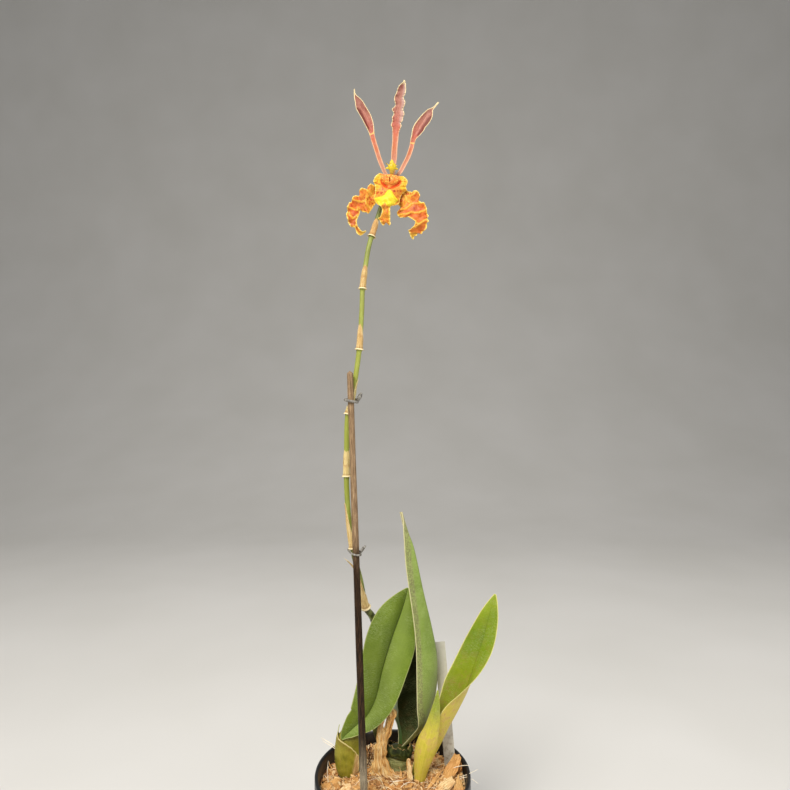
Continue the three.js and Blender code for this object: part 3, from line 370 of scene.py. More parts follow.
for name, count, lengths, widths, depths, above, slant in CHIPS:
    if lengths:
        reach = CHIP_REACH * np.sqrt(strew.uniform(0.0, 1.0, count))
        angle = strew.uniform(0, 2 * math.pi, count)
        x, y = reach * np.cos(angle), reach * np.sin(angle)
        size = np.stack([strew.uniform(*span, count) for span in (lengths, widths, depths)], axis=1)
        heading = strew.uniform(0, 2 * math.pi, count)
        tilt, roll = strew.normal(0, slant, count), strew.normal(0, 0.5, count)
        over = above + strew.normal(0, 1, count)
    else:
        x, y, over, heading, tilt, *size = np.array(SLABS).T
        size, roll = np.array(size).T, np.full(count, 0.25)
    inside = (((x[:, None] - STANDING[:, 0]) / STANDING[:, 2]) ** 2
              + ((y[:, None] - STANDING[:, 1]) / STANDING[:, 3]) ** 2 < 1).any(axis=1)
    ragged = chip_points[None] + strew.normal(0, 0.07, (count, len(chip_points), 3))
    waviness = np.sin(5 * ragged[:, :, 0] + heading[:, None])
    ragged[:, :, 1] *= 1 - 0.5 * np.abs(ragged[:, :, 0]) ** 2 + 0.25 * waviness
    bent = ragged * size[:, None]
    bow = strew.normal(0, 1, count)[:, None] * (SHRED_BOW if name == "husk_shreds" else CHIP_BOW)
    bent[:, :, 1] += bow * (ragged[:, :, 0] ** 2) * size[:, :1] * 0.4
    bent[:, :, 2] += 0.06 * size[:, :1] * np.cos(3 * ragged[:, :, 0]) * strew.uniform(-1, 1, count)[:, None]
    solid = np.einsum("nij,nkj->nki", turned(tilt, roll, heading), bent)
    solid += np.stack([x, y, ground(x, y) + over], axis=1)[:, None]
    far = np.hypot(solid[:, :, 0], solid[:, :, 1])
    pull = np.minimum(1, CHIP_LIMIT / far)
    solid[:, :, :2] *= pull[:, :, None]
    keep = ~inside if lengths else np.ones(count, bool)
    tone = np.repeat(strew.uniform(0, 1, (count, 1)), len(chip_points), axis=1)
    local = bent + strew.uniform(0, 900, (count, 1, 3))
    chips.append(strewn_mesh(name, solid[keep], chip_faces, {"tone": tone[keep], "sheet": local[keep]}))

husk = Finish("coconut_husk", Roughness=0.9, Specular_IOR_Level=0.2)
sheet = husk.place("sheet")
grain = husk.noise(husk.stretch(sheet, (0.16, 2.2, 2.2)), 1, 5, 0.7)
cloud = husk.noise(husk.place(), 120, 3)
tone = husk.tone()
body = husk.ramp(tone, (0.0, (128, 82, 42)), (0.14, (196, 142, 84)), (0.4, (226, 180, 116)),
                 (0.7, (240, 202, 142)), (1.0, (250, 230, 186)))
streaks = husk.ramp(grain, (0.3, (110, 70, 40)), (0.46, (222, 202, 176)), (0.6, (255, 255, 255)))
coloured = husk.blend(0.85, body, streaks, "MULTIPLY")
coloured = husk.blend(husk.step(cloud, 0.52, 0.72, 0, 0.4), coloured, (206, 142, 88))
husk_material = husk.wear(Base_Color=coloured, Normal=husk.relief(grain, 0.6, 0.9))
for chip in chips:
    fit(chip, husk_material, "medium")


def strands(lines, thickness, sides):
    """Round strands along lines of points: the points of their rings, by line, by step and by side"""
    step = np.gradient(lines, axis=1)
    step /= np.linalg.norm(step, axis=2, keepdims=True) + 1e-9
    beside = np.cross(step, np.array([0.3, 0.2, 1.0]))
    beside /= np.linalg.norm(beside, axis=2, keepdims=True) + 1e-9
    above = np.cross(beside, step)
    corner = (np.arange(sides) * 2 * math.pi / sides)[:, None]
    ring = beside[:, :, None] * np.cos(corner) + above[:, :, None] * np.sin(corner)
    return lines[:, :, None] + ring * thickness[:, :, None, None]


def read_at(at, run, points):
    """Points of a line, read at some places along it"""
    return np.stack([np.interp(at, run, points[:, k]) for k in range(3)], axis=-1)


# Coir: loose fibres over the chips, some dark ones by the stalk, and a few that stand out over the rim.
# The loose ones are strewn, and the others are drawn one by one.
FIBRES = 1200
STEPS = 8
FIBRE_SIDES = 4
FIBRE_REACH, FIBRE_LIMIT = 63, 65
along = np.linspace(0, 1, STEPS + 1)
reach = FIBRE_REACH * np.sqrt(strew.uniform(0.02, 1.0, FIBRES))
angle = strew.uniform(0, 2 * math.pi, FIBRES)
foot_x, foot_y = reach * np.cos(angle), reach * np.sin(angle)
course = strew.uniform(0, 2 * math.pi, FIBRES)[:, None] + strew.normal(0, 1.2, FIBRES)[:, None] * along
long = strew.uniform(6, 24, FIBRES)[:, None]
rise = np.abs(strew.normal(0, 0.22, FIBRES))[:, None]
line_x = foot_x[:, None] + np.cumsum(np.cos(course), 1) * long / STEPS
line_y = foot_y[:, None] + np.cumsum(np.sin(course), 1) * long / STEPS
pull = np.minimum(1, FIBRE_LIMIT / np.hypot(line_x, line_y))
line_x, line_y = line_x * pull, line_y * pull
swell = np.sin(7 * along + 9 * rise)
line_z = ground(line_x, line_y) + 1.6 + rise * long * along * (1.3 - along) + 0.5 * swell
line = np.stack([line_x, line_y, line_z], axis=2)
OUT_FIBRES = [
    [(-51.5, 8, 135.5), (-56, 9, 138.5), (-60, 10, 140.6), (-63, 10.5, 142), (-66, 11, 143.4)],
    [(-52, 8, 134.5), (-57, 9, 137), (-60.5, 10, 138.6), (-63.5, 10, 140.4), (-65, 10, 142.6)],
    [(57, 2, 112), (62, -1, 115), (67, -4, 118.5), (72, -6, 122.5), (76, -7, 125)],
    [(58, -2, 112), (62, -4, 115.5), (67, -5, 117), (72, -7, 115.5), (76, -9, 113.6)],
    [(52, 8, 116), (58, 5, 120), (63, 2, 123), (66.5, 0, 124.5), (69, -1, 124.8)],
    [(-57.5, -3, 110), (-58.5, -4, 117), (-58.6, -5, 122), (-58.2, -5, 127), (-57.6, -5, 131.5)],
    [(-20, 14, 110), (-22, 12, 120), (-21, 9, 129), (-23.5, 7, 137), (-21.5, 6, 144)],
    [(-17, 12, 110), (-19, 11, 118), (-22.5, 9, 125), (-20.5, 8, 133), (-18, 8, 139)],
    [(-24, 16, 110), (-23, 13, 118), (-19, 10, 126), (-18.5, 8, 130), (-22, 7, 133)]]
OUT_THICK = [0.3, 0.26, 0.26, 0.26, 0.3, 0.3, 0.4, 0.36, 0.4]
OUT_TONE = [1, 1, 1, 1, 1, 1, 0, 0.05, 0]
line = np.concatenate([line, [read_at(along * 4, range(5), np.array(path, float)) for path in OUT_FIBRES]])
thick = np.concatenate([strew.uniform(0.13, 0.34, FIBRES), OUT_THICK])[:, None] * (1.05 - 0.6 * along ** 3)
tone = np.concatenate([strew.uniform(0.1, 1, FIBRES), OUT_TONE])[:, None]
fibre_points = strands(line, thick, FIBRE_SIDES).reshape(len(line), -1, 3)
fibre_faces = [((j + 1) * FIBRE_SIDES + i, (j + 1) * FIBRE_SIDES + (i + 1) % FIBRE_SIDES,
                j * FIBRE_SIDES + (i + 1) % FIBRE_SIDES, j * FIBRE_SIDES + i)
               for j in range(STEPS) for i in range(FIBRE_SIDES)]
fibre_ends = [tuple(range(FIBRE_SIDES)), tuple(STEPS * FIBRE_SIDES + i for i in range(FIBRE_SIDES))[::-1]]
coir = strewn_mesh("coir_fibres", fibre_points, np.array(fibre_faces + fibre_ends),
                   {"tone": np.repeat(tone, fibre_points.shape[1], axis=1)})
straw = Finish("coir", Roughness=0.75, Specular_IOR_Level=0.25)
tone = straw.tone()
flecks = straw.noise(straw.place(), 700, 2)
straw_colour = straw.ramp(tone, (0.0, (70, 44, 30)), (0.15, (150, 96, 56)), (0.5, (224, 176, 118)),
                          (0.85, (246, 222, 176)), (1.0, (250, 238, 214)))
fit(coir, straw.wear(
    Base_Color=straw_colour, Roughness=straw.step(flecks, 0.3, 0.7, 0.6, 0.85)), "medium")


def smooth(stations, rows):
    """Reads a table of stations smoothly: one line of values for each step along the piece"""
    table = np.array(stations, float)
    gaps = np.sqrt(np.linalg.norm(np.diff(table[:, :3], axis=0), axis=1))
    slope = np.diff(table, axis=0) / gaps[:, None]
    lean = np.empty_like(table)
    both_gaps = (gaps[1:] + gaps[:-1])[:, None]
    lean[1:-1] = (slope[:-1] * gaps[1:, None] + slope[1:] * gaps[:-1, None]) / both_gaps
    lean[0] = 1.5 * slope[0] - 0.5 * lean[1]
    lean[-1] = 1.5 * slope[-1] - 0.5 * lean[-2]
    at = np.linspace(0, len(table) - 1, rows + 1)
    k = np.minimum(at.astype(int), len(table) - 2)
    t = (at - k)[:, None]
    gap = gaps[k][:, None]
    return (table[k] * (1 + 2 * t) * (1 - t) ** 2 + lean[k] * gap * t * (1 - t) ** 2
            + table[k + 1] * t ** 2 * (3 - 2 * t) - lean[k + 1] * gap * t ** 2 * (1 - t))


def sides_along(centre, turn=0):
    """The two directions across a line of points: sideways, and to the front, turned by some degrees"""
    tangent = np.gradient(centre, axis=0)
    tangent /= np.linalg.norm(tangent, axis=1, keepdims=True)
    angle = np.radians(turn) * np.ones(len(centre))
    ahead = np.stack([np.sin(angle), -np.cos(angle), np.zeros(len(centre))], axis=1)
    across = np.cross(tangent, ahead)
    across /= np.linalg.norm(across, axis=1, keepdims=True)
    return across, np.cross(across, tangent)


def run_of(points):
    """Millimetres along a line of points, from its start to each of them"""
    return np.concatenate([[0], np.cumsum(np.linalg.norm(np.diff(points, axis=0), axis=1))])


def note(piece, **fields):
    """Keeps values at a mesh's points, such as how far along the piece each lies"""
    for name, values in fields.items():
        layer = piece.data.attributes.new(name, "FLOAT_VECTOR", "POINT")
        layer.data.foreach_set("vector", values.astype(np.float32).ravel())


def stem(name, stations, sides, rows, shape=None, round_end=3):
    """A stem along stations of x, y, z, radius and depth. Its sheet holds millimetres round and along"""
    line = smooth(stations, rows)
    centre = line[:, :3]
    across, ahead = sides_along(centre)
    angle = np.linspace(0, 2 * math.pi, sides + 1)
    run = run_of(centre)
    t = (run / run[-1])[:, None]
    reach = np.maximum(0.05, line[:, 3:4]) * np.ones_like(angle)
    if shape is not None:
        reach = reach * shape(angle[None], t, run[:, None])
    for from_end in (run, run[-1] - run):
        open_share = 1 - np.minimum(from_end, round_end) / round_end
        reach = reach * np.sqrt(np.clip(1 - open_share ** 2, 0, 1))[:, None]
    depth = line[:, 4:5] if line.shape[1] > 4 else 1
    points = (centre[:, None] + across[:, None] * (reach * np.cos(angle))[:, :, None]
              - ahead[:, None] * (reach * depth * np.sin(angle))[:, :, None])
    piece = new_grid(name, points)
    flat = np.stack([np.broadcast_to(line[:, 3:4] * angle, reach.shape),
                     np.broadcast_to(run[:, None], reach.shape),
                     np.broadcast_to(t, reach.shape)], axis=2)
    note(piece, sheet=flat)
    return sewn(piece)


# Rhizome and roots: under the surface they join the growths. Nothing of them shows,
# so their solid stays as it is and is only coloured.
root_skin = Finish("root_skin", Roughness=0.8)
where = root_skin.place()
ridges = root_skin.noise(root_skin.stretch(where, (1, 1, 0.3)), 700, 4)
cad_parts["rhizome_roots"].data.materials.clear()
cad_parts["rhizome_roots"].data.materials.append(root_skin.wear(
    Base_Color=root_skin.ramp(ridges, (0.3, (150, 140, 110)), (0.7, (205, 198, 170))),
    Normal=root_skin.relief(ridges, 0.4)))

# Pseudobulbs: flattened swollen stems, one under each grown leaf, waxy, with shallow wrinkles. The left one
# is broad and olive, the centre one is grey-green, creased across, with the dark ring of its leaf's foot.
BULBS = {
    "pseudobulb_left": [
        (-40.5, 8, 107.6, 5.5, 0.62), (-41, 8, 113, 8.2, 0.6), (-41, 8, 120, 10.6, 0.58),
        (-40, 8.5, 128, 12.4, 0.56), (-38.8, 9, 137, 13, 0.54), (-37.8, 9.5, 145, 12, 0.54),
        (-37.3, 10, 151, 9.2, 0.56), (-37.3, 10.5, 155.5, 4.4, 0.7)],
    "pseudobulb_center": [
        (3, 12, 107.6, 8.4, 0.66), (3.3, 12, 113, 9.2, 0.66), (3.6, 12, 119.5, 9.8, 0.66),
        (4.2, 12.3, 124.6, 10.4, 0.66), (4.8, 12.6, 126.6, 12, 0.64), (5.2, 13, 129.6, 12.6, 0.62),
        (5.4, 13.5, 133, 11.6, 0.62), (5.6, 14, 136, 7, 0.7)]}
BULB_SHADES = {"pseudobulb_left": ((104, 100, 22), (146, 138, 44), (88, 66, 18)),
               "pseudobulb_center": ((100, 106, 54), (156, 158, 98), (50, 50, 22))}


def creased(angle, t, run):
    lower_part = np.clip((0.62 - t) * 9, 0, 1)
    across = np.sin(1.15 * run + 1.2 * np.sin(angle) + 0.7 * np.sin(3 * angle)) * lower_part
    along = 0.02 * np.sin(11 * angle + 2.5 * t) + 0.012 * np.sin(23 * angle + 5 * np.sin(3 * t))
    collar = 0.05 * np.exp(-((t - 0.66) / 0.03) ** 2) - 0.05 * np.exp(-((t - 0.6) / 0.025) ** 2)
    return 1 + 0.028 * across + along * np.sin(math.pi * np.clip(t, 0, 1)) ** 0.5 + collar


for name, stations in BULBS.items():
    skin = Finish(name + "_skin", Specular_IOR_Level=0.35)
    sheet, where = skin.place("sheet"), skin.place()
    cloud = skin.noise(where, 90, 4, 0.6)
    lines = skin.noise(skin.stretch(sheet, (1.1, 0.06, 1)), 1.3, 3)
    rings = skin.noise(skin.stretch(sheet, (0.1, 1.4, 1)), 1.2, 4, 0.6, 0.6)
    low, high, stain_and_shade = BULB_SHADES[name]
    colour = skin.blend(skin.step(cloud, 0.35, 0.65), low, high)
    colour = skin.blend(skin.step(lines, 0.5, 0.72, 0, 0.5), colour, stain_and_shade)
    if name == "pseudobulb_center":
        # Painted highlights on the crests of the creases across it, and painted shade in their troughs
        colour = skin.blend(skin.step(rings, 0.5, 0.62, 0, 0.75), colour, (176, 176, 128))
        colour = skin.blend(skin.step(rings, 0.46, 0.34, 0, 0.7), colour, stain_and_shade)
        top = skin.step(skin.plus(skin.part(sheet, "Z"), skin.times(cloud, 0.1)), 0.62, 0.68)
        ring_shade = skin.ramp(cloud, (0.35, (34, 40, 10)), (0.62, (62, 68, 22)), (0.72, (128, 100, 62)))
        colour = skin.blend(top, colour, ring_shade)
    specks = skin.step(skin.noise(where, 900, 2), 0.6, 0.72)
    colour = skin.blend(skin.times(specks, 0.5), colour, stain_and_shade)
    fit(stem(name + "_skin", stations, 72, 90, creased if name == "pseudobulb_center" else None), skin.wear(
        Base_Color=colour, Roughness=skin.step(cloud, 0.3, 0.7, 0.36, 0.55),
        Normal=skin.relief(lines, 0.35, 0.6, skin.relief(rings, 0.3, 0.5))), "pseudobulb", name)

# Foot of the centre leaf: what is left of its sheath lies round the pseudobulb's top as a dark torn roll.
# It is a thin wall, open at the top, with a wavy rim.
ROLL_FOOT, ROLL_RIM = 126.6, 136.4
ROLL_MIDDLE, ROLL_FLATNESS = (5.1, 13), 0.64


def folded(outside, inside):
    """The two faces of a thin wall as one grid, which turns over at the rim and closes at the foot"""
    return np.concatenate([outside, inside[::-1], outside[:1]])


turn = np.linspace(0, 2 * math.pi, 109)[None]
share = np.linspace(0, 1, 21)[:, None]
torn_rim = sum(
    (height * np.sin(waves * turn + phase) for height, waves, phase in (
        (1.6, 2, 0.6), (1.1, 5, 2), (0.7, 11, 0), (0.5, 23, 1))), ROLL_RIM)
level = ROLL_FOOT + 0.8 * np.sin(3 * turn + 1) + (torn_rim - ROLL_FOOT) * share
reach = (10.9 + 2.4 * np.sin(math.pi * share ** 0.8) ** 1.2 + 0.35 * np.sin(9 * turn + 5 * share)
         + 0.25 * np.sin(20 * turn - 3 * share))
layers = [np.stack([ROLL_MIDDLE[0] + (reach + grow) * np.cos(turn),
                    ROLL_MIDDLE[1] + ROLL_FLATNESS * (reach + grow) * np.sin(turn), level], axis=2)
          for grow in (0.3, -0.5)]
roll = new_grid("pseudobulb_center_collar", folded(*layers))
flat = np.stack(np.broadcast_arrays(11 * turn, level, share), axis=2)
note(roll, sheet=folded(flat, flat))
sewn(roll)
torn = Finish("collar_skin", Specular_IOR_Level=0.3, Roughness=0.6)
sheet, where = torn.place("sheet"), torn.place()
cloud = torn.noise(where, 170, 4, 0.7)
threads = torn.noise(torn.stretch(sheet, (1.6, 0.2, 1)), 1.5, 4, 0.7)
colour = torn.ramp(cloud, (0.34, (22, 28, 6)), (0.5, (48, 58, 16)), (0.62, (82, 86, 34)),
                   (0.74, (140, 112, 64)))
colour = torn.blend(torn.step(threads, 0.52, 0.66, 0, 0.5), colour, (24, 24, 6))
torn_edge = torn.step(torn.plus(torn.part(sheet, "Z"), torn.times(cloud, 0.2)), 1.02, 1.1, 0, 0.7)
colour = torn.blend(torn_edge, colour, (172, 140, 88))
fit(roll, torn.wear(Base_Color=colour, Normal=torn.relief(threads, 0.5, 0.8)), "pseudobulb")

# Leaves: thick leathery blades, folded along the midrib at the foot and opening toward the tip.
# Stations: midrib x, y, z, half widths left and right, turn, folds, cups, thickness at the midrib.
def no_ruffle(t, u, run):
    return np.zeros(np.broadcast(t, u).shape), np.ones(np.broadcast(t, u).shape)


def two_faced(name, middle, u, width, run, thick, edge):
    """Gives a surface its two faces and a rounded margin. Its sheet holds millimetres across and along, and 1
    on the front face; its spot holds the share across, the share along and millimetres from the margin"""
    out = np.cross(np.gradient(middle, axis=1), np.gradient(middle, axis=0))
    out /= np.linalg.norm(out, axis=2, keepdims=True) + 1e-12
    thickness = edge + np.maximum(0, thick - edge) * (1 - np.abs(u) ** 1.5)
    rounding = np.sqrt(np.clip(1 - np.abs(u) ** 40, 0, 1))
    near_end = np.minimum(np.minimum(run, run[-1] - run), 0.6) / 0.6
    ends = np.sqrt(np.clip(1 - (1 - near_end) ** 2, 0, 1))[:, None]
    half = (thickness * rounding * ends / 2)[:, :, None]
    front, back = middle + out * half, (middle - out * half)[:, ::-1]
    flat = np.stack([u * width, np.broadcast_to(run[:, None], width.shape), np.ones_like(width)], axis=2)
    flat_back = flat[:, ::-1].copy()
    flat_back[:, :, 2] = 0
    share_along = np.broadcast_to((run / run[-1])[:, None], width.shape)
    spot = np.stack([np.broadcast_to(u, width.shape), share_along, width * (1 - np.abs(u))], axis=2)
    piece = new_grid(name, np.concatenate([front, back], axis=1))
    note(piece, sheet=np.concatenate([flat, flat_back], axis=1),
         spot=np.concatenate([spot, spot[:, ::-1]], axis=1))
    return sewn(piece)


def blade(name, stations, columns, rows, ruffle=no_ruffle, edge=0.5):
    """A thin blade along its midrib"""
    line = smooth(stations, rows)
    centre = line[:, :3]
    across, ahead = sides_along(centre, line[:, 5])
    run = run_of(centre)
    t = (run / run[-1])[:, None]
    spread = np.linspace(-1, 1, columns + 1)
    u = (0.55 * spread + 0.45 * np.sin(spread * math.pi / 2))[None]
    right = u > 0
    lift, widen = ruffle(t, u, run[:, None])
    width = np.maximum(0.15, np.where(right, line[:, 4:5], line[:, 3:4])) * widen
    start = np.radians(np.where(right, line[:, 7:8], line[:, 6:7]))
    bend = np.radians(np.where(right, line[:, 9:10], line[:, 8:9]))
    bend = np.where(np.abs(bend) < 0.02, 0.02, bend)
    end = start + bend * np.abs(u)
    side = np.sign(u) * width * (np.sin(end) - np.sin(start)) / bend
    rise = width * (np.cos(start) - np.cos(end)) / bend + lift
    middle = centre[:, None] + across[:, None] * side[:, :, None] + ahead[:, None] * rise[:, :, None]
    return two_faced(name, middle, u, width, run, line[:, 10:11], edge)


def leaf_wave(height, waves, phase):
    """A slow wave of a leaf's margin"""
    def wave(t, u, run):
        swell = np.sin(math.pi * np.clip(t, 0, 1)) ** 0.7 * np.abs(u) ** 2.5
        return height * swell * np.sin(2 * math.pi * waves * t + phase + 1.7 * (u > 0)), np.ones_like(swell)
    return wave


LEAF_LEFT = [
    (-46.4, 3.6, 146, 1.2, 1.2, 4, 10, 40, 0, 0, 1.6),
    (-43, 3, 150, 5.5, 3.4, 6, 16, 56, 0, 0, 2.4),
    (-38.8, 2.5, 154.1, 10, 6.5, 8, 22, 60, -6, -10, 2.6),
    (-31.6, 3, 160.6, 16.5, 10.5, 8, 32, 58, -20, -20, 2.6),
    (-23.8, 4, 167.5, 21.8, 14.5, 8, 42, 56, -32, -24, 2.5),
    (-16.4, 5, 181, 25, 19, 8, 46, 50, -38, -26, 2.3),
    (-9.5, 5, 210, 25.6, 23.5, 9, 44, 42, -36, -26, 2),
    (-0.5, 4, 240, 27.4, 23, 9, 36, 34, -28, -22, 1.8),
    (7.5, 5, 261, 22, 12, 8, 24, 24, -16, -14, 1.5),
    (12, 6.5, 274.5, 11.5, 4.5, 6, 14, 14, 0, 0, 1.3),
    (14, 7.5, 282.5, 1.4, 0.9, 4, 6, 6, 0, 0, 1)]
LEAF_CENTER = [
    (6.5, 15, 131, 5.5, 5.5, -50, 50, 50, 40, 40, 2.8),
    (17.5, 20.5, 138, 26, 17, -55, 36, 36, 60, 50, 2.6),
    (29, 24, 152, 41, 26.5, -50, 34, 34, 80, 60, 2.4),
    (36.5, 23, 168, 47, 31, -52, 36, 40, 84, 55, 2.2),
    (40.3, 19, 188, 44, 31, -59, 40, 44, 74, 48, 2.2),
    (40.3, 14.5, 216, 31, 28, -64, 48, 50, 50, 38, 2),
    (35.6, 9, 243, 14.5, 21.5, -73, 55, 55, 21, 21, 2),
    (27, 2.5, 281, 9.3, 14.6, -77, 62, 62, 10, 10, 1.8),
    (18.3, -3, 322, 6, 8.8, -81, 68, 68, 6, 6, 1.6),
    (12.7, -4.5, 338, 2.8, 4.4, -76, 60, 62, 0, 0, 1.5),
    (9.6, -5, 348, 1.8, 2.4, -56, 40, 40, 10, 10, 1.8),
    (7.8, -5.4, 354.5, 1.7, 1.7, -40, 30, 30, 20, 20, 2)]
LEAF_RIGHT = [
    (24, 4, 108.8, 10, 10, -62, 62, 62, 30, 30, 2.6),
    (32, 4.5, 121, 15.5, 15.5, -64, 66, 66, 24, 24, 2.6),
    (42, 5.5, 139, 16.5, 18.5, -66, 66, 66, 22, 22, 2.4),
    (50.5, 6.5, 155.5, 18, 20.5, -66, 62, 62, 26, 26, 2.4),
    (59.5, 8, 171, 21, 22, -60, 52, 62, 30, 30, 2.2),
    (68.5, 9.5, 189, 23, 19, -46, 36, 60, 26, 26, 2.2),
    (75.5, 9.5, 211, 19.5, 17.5, -34, 24, 42, 20, 20, 2),
    (82.5, 7, 235, 15.6, 15.2, -28, 18, 24, 16, 16, 1.8),
    (88, 3, 260, 8.8, 10, -24, 14, 14, 12, 12, 1.6),
    (91, 0, 273, 4, 4.4, -22, 8, 8, 8, 8, 1.3),
    (92.5, -1, 279.5, 1, 1, -22, 6, 6, 0, 0, 1)]


def leaf_skin(name, inner, outer, foot, edge, foot_reach, mottle, crease_shade=0.2, trough_shade=False, strip=0.0,
              curl=0.0, rim_share=0.85, foot_height=None, foot_face=0.25):
    """Leathery leaf: three shades for its face and three for its back, veins along it, fine hatching across
    it, a foot that fades to another colour, and a thin pale margin. A painted shade line runs along the
    midrib, and a trough setting paints shade beside one side of the midrib and a painted highlight on the
    other. strip is how densely the back is speckled beside its near margin, and it also paints light onto the
    lower back; curl is how strongly a painted highlight lights the face's far margin. foot_height is where a
    yellow foot ends on the back, in metres, and foot_face its share on the face"""
    skin = Finish(name, Specular_IOR_Level=0.25)
    sheet, spot, where = skin.place("sheet"), skin.place("spot"), skin.place()
    u, t, margin = (skin.part(spot, axis) for axis in "XYZ")
    face = skin.part(sheet, "Z")
    back = skin.less(1.0, face)
    cloud = skin.noise(where, 26, 4, 0.6, 0.4)
    fine = skin.noise(where, 1300, 3, 0.7)
    veins = skin.noise(skin.stretch(sheet, (1.5, 0.03, 1)), 1.6, 4, 0.65)
    hatch = skin.noise(skin.stretch(sheet, (0.16, 1.7, 1)), 1.9, 4, 0.7, 0.6)
    near, far = (skin.ramp(cloud, *zip((0.25, 0.5, 0.75), shades)) for shades in (inner, outer))
    colour = skin.blend(face, far, near)
    colour = skin.blend(skin.step(veins, 0.45, 0.75, 0, 0.35), colour, skin.blend(face, outer[2], inner[2]))
    patches = skin.step(skin.noise(where, 30, 2), 0.36, 0.6, 0.15, 0.85)
    hatching = skin.times(skin.step(hatch, 0.47, 0.62), patches)
    pale = skin.blend(0.5, colour, (186, 198, 140))
    colour = skin.blend(hatching, colour, pale)
    colour = skin.blend(skin.step(fine, 0.35, 0.65, 0.22, 0), colour, skin.blend(0.6, colour, (20, 24, 2)))
    specks = skin.step(skin.noise(where, 700, 3, 0.6), 0.54, 0.64)
    blotch = skin.noise(where, 150, 4, 0.7)
    mottled = skin.times(skin.step(blotch, 0.46, 0.62), skin.step(specks, 0, 1, 0.4, 1))
    near_foot = skin.step(skin.plus(t, skin.times(cloud, 0.2)), foot_reach * 0.35, foot_reach + 0.2, 1, 0)
    if foot_height:
        near_foot = skin.step(skin.plus(skin.part(where, "Z"), skin.times(skin.less(blotch, 0.5), 0.03)),
                              *foot_height, 1, 0)
        near_foot = skin.times(near_foot, skin.less(1.0, skin.times(face, 1 - foot_face)))
        foot_shade = skin.ramp(skin.plus(skin.times(veins, 0.5), skin.times(blotch, 0.5)),
                               (0.36, (192, 182, 58)), (0.5, foot), (0.62, (226, 204, 110)))
        colour = skin.blend(near_foot, colour, foot_shade)
        tinge = skin.times(skin.times(near_foot, skin.step(blotch, 0.52, 0.68, 0, 0.4)),
                           skin.step(veins, 0.4, 0.6))
        colour = skin.blend(tinge, colour, (204, 148, 96))
    else:
        colour = skin.blend(near_foot, colour, foot)
    share = skin.times(mottled, skin.step(t, foot_reach, foot_reach * 2.6 + 0.2, mottle, mottle * 0.15))
    colour = skin.blend(share, colour, (168, 118, 80))
    if strip:
        band = skin.step(skin.less(margin, skin.step(t, 0.3, 0.06, 0, 0.009 / MM)), 4.5, 7.5, 1, 0)
        band = skin.times(band, skin.times(back, skin.step(u, 0, 0.02)))
        colour = skin.blend(skin.times(band, 0.35), colour, (166, 160, 118))
        # Painted light: the lower part of the back is lightened
        lower = skin.times(skin.step(t, 0.5, 0.12, 0, 0.55), back)
        colour = skin.blend(lower, colour, (176, 184, 112))
        dots = skin.step(skin.noise(where, 900, 2, 0.6), 0.46, 0.56)
        colour = skin.blend(skin.times(skin.times(dots, strip), band), colour, (92, 66, 60))
        tip = skin.step(t, 0.93, 0.975, 0, 0.7)
        colour = skin.blend(tip, colour, skin.ramp(fine, (0.4, (128, 116, 76)), (0.6, (206, 192, 150))))
    if curl:
        # Painted highlight on the face's far margin, lighter the higher it lies
        band = skin.times(skin.step(margin, 8.2, 8.8, curl, 0), skin.times(face, skin.step(u, -0.02, -0.1)))
        band = skin.times(band, skin.step(t, 0.3, 0.36, 1, 0))
        lit = skin.ramp(skin.step(skin.part(where, "Z"), 0.135, 0.17), (0.0, (78, 110, 52)),
                        (0.6, (150, 172, 122)), (1.0, (196, 212, 178)))
        colour = skin.blend(band, colour, lit)
    if trough_shade:
        # Painted shade beside the midrib on the left half, and a painted highlight on the right half
        valley_shade = skin.times(skin.step(u, -0.55, -0.06), skin.step(u, 0.03, -0.03))
        colour = skin.blend(skin.times(valley_shade, skin.times(face, 0.42)), colour, (52, 70, 8))
        bright = skin.times(skin.step(u, 0.02, 0.12), skin.step(u, 0.95, 0.4))
        colour = skin.blend(skin.times(bright, skin.times(face, 0.3)), colour, (146, 164, 84))
    # Painted shade: a dark line along the midrib where the blade folds
    crease_shadow = skin.step(skin.size(skin.times(u, 20)), 0, 1.6, crease_shade, 0)
    colour = skin.blend(skin.times(crease_shadow, face), colour, (28, 40, 10))
    rim = skin.step(margin, 0.35, 0.95, rim_share, 0)
    colour = skin.blend(rim, colour, edge)
    bumps = skin.relief(veins, 0.25, 0.6, skin.relief(hatch, 0.15, 0.7, skin.relief(fine, 0.04, 0.6)))
    return skin.wear(
        Base_Color=colour, Roughness=skin.step(skin.noise(where, 120, 3), 0.3, 0.7, 0.4, 0.56),
        Normal=bumps)


GREEN_FACE = ((82, 104, 16), (104, 126, 28), (128, 148, 50))
GREEN_BACK = ((108, 120, 44), (124, 136, 56), (144, 154, 76))
SILVER_BACK = ((104, 128, 44), (128, 152, 62), (154, 174, 90))
# The centre leaf's face: its green is darkened with painted shade for its shadowed inside
SHADOWED_FACE = ((26, 32, 3), (34, 42, 4), (54, 62, 10))
YOUNG_FACE = ((96, 124, 2), (122, 146, 4), (154, 172, 12))
YOUNG_BACK = ((130, 148, 26), (160, 164, 40), (186, 178, 60))
fit(blade("leaf_left_blade", LEAF_LEFT, 56, 150, leaf_wave(0.9, 2.2, 0.5)),
    leaf_skin("leaf_green", GREEN_FACE, GREEN_BACK, (100, 128, 50), (170, 178, 110), foot_reach=0.02,
              mottle=0.05,
              crease_shade=0.75, trough_shade=True), "leaf", "leaf_left")
fit(blade("leaf_center_blade", LEAF_CENTER, 60, 160, leaf_wave(0.7, 2, 2)),
    leaf_skin("leaf_silver", SHADOWED_FACE, SILVER_BACK, (120, 128, 70), (214, 208, 160), foot_reach=0.02,
              mottle=0.25,
              strip=0.5, curl=0.95), "leaf_underside", "leaf_center")
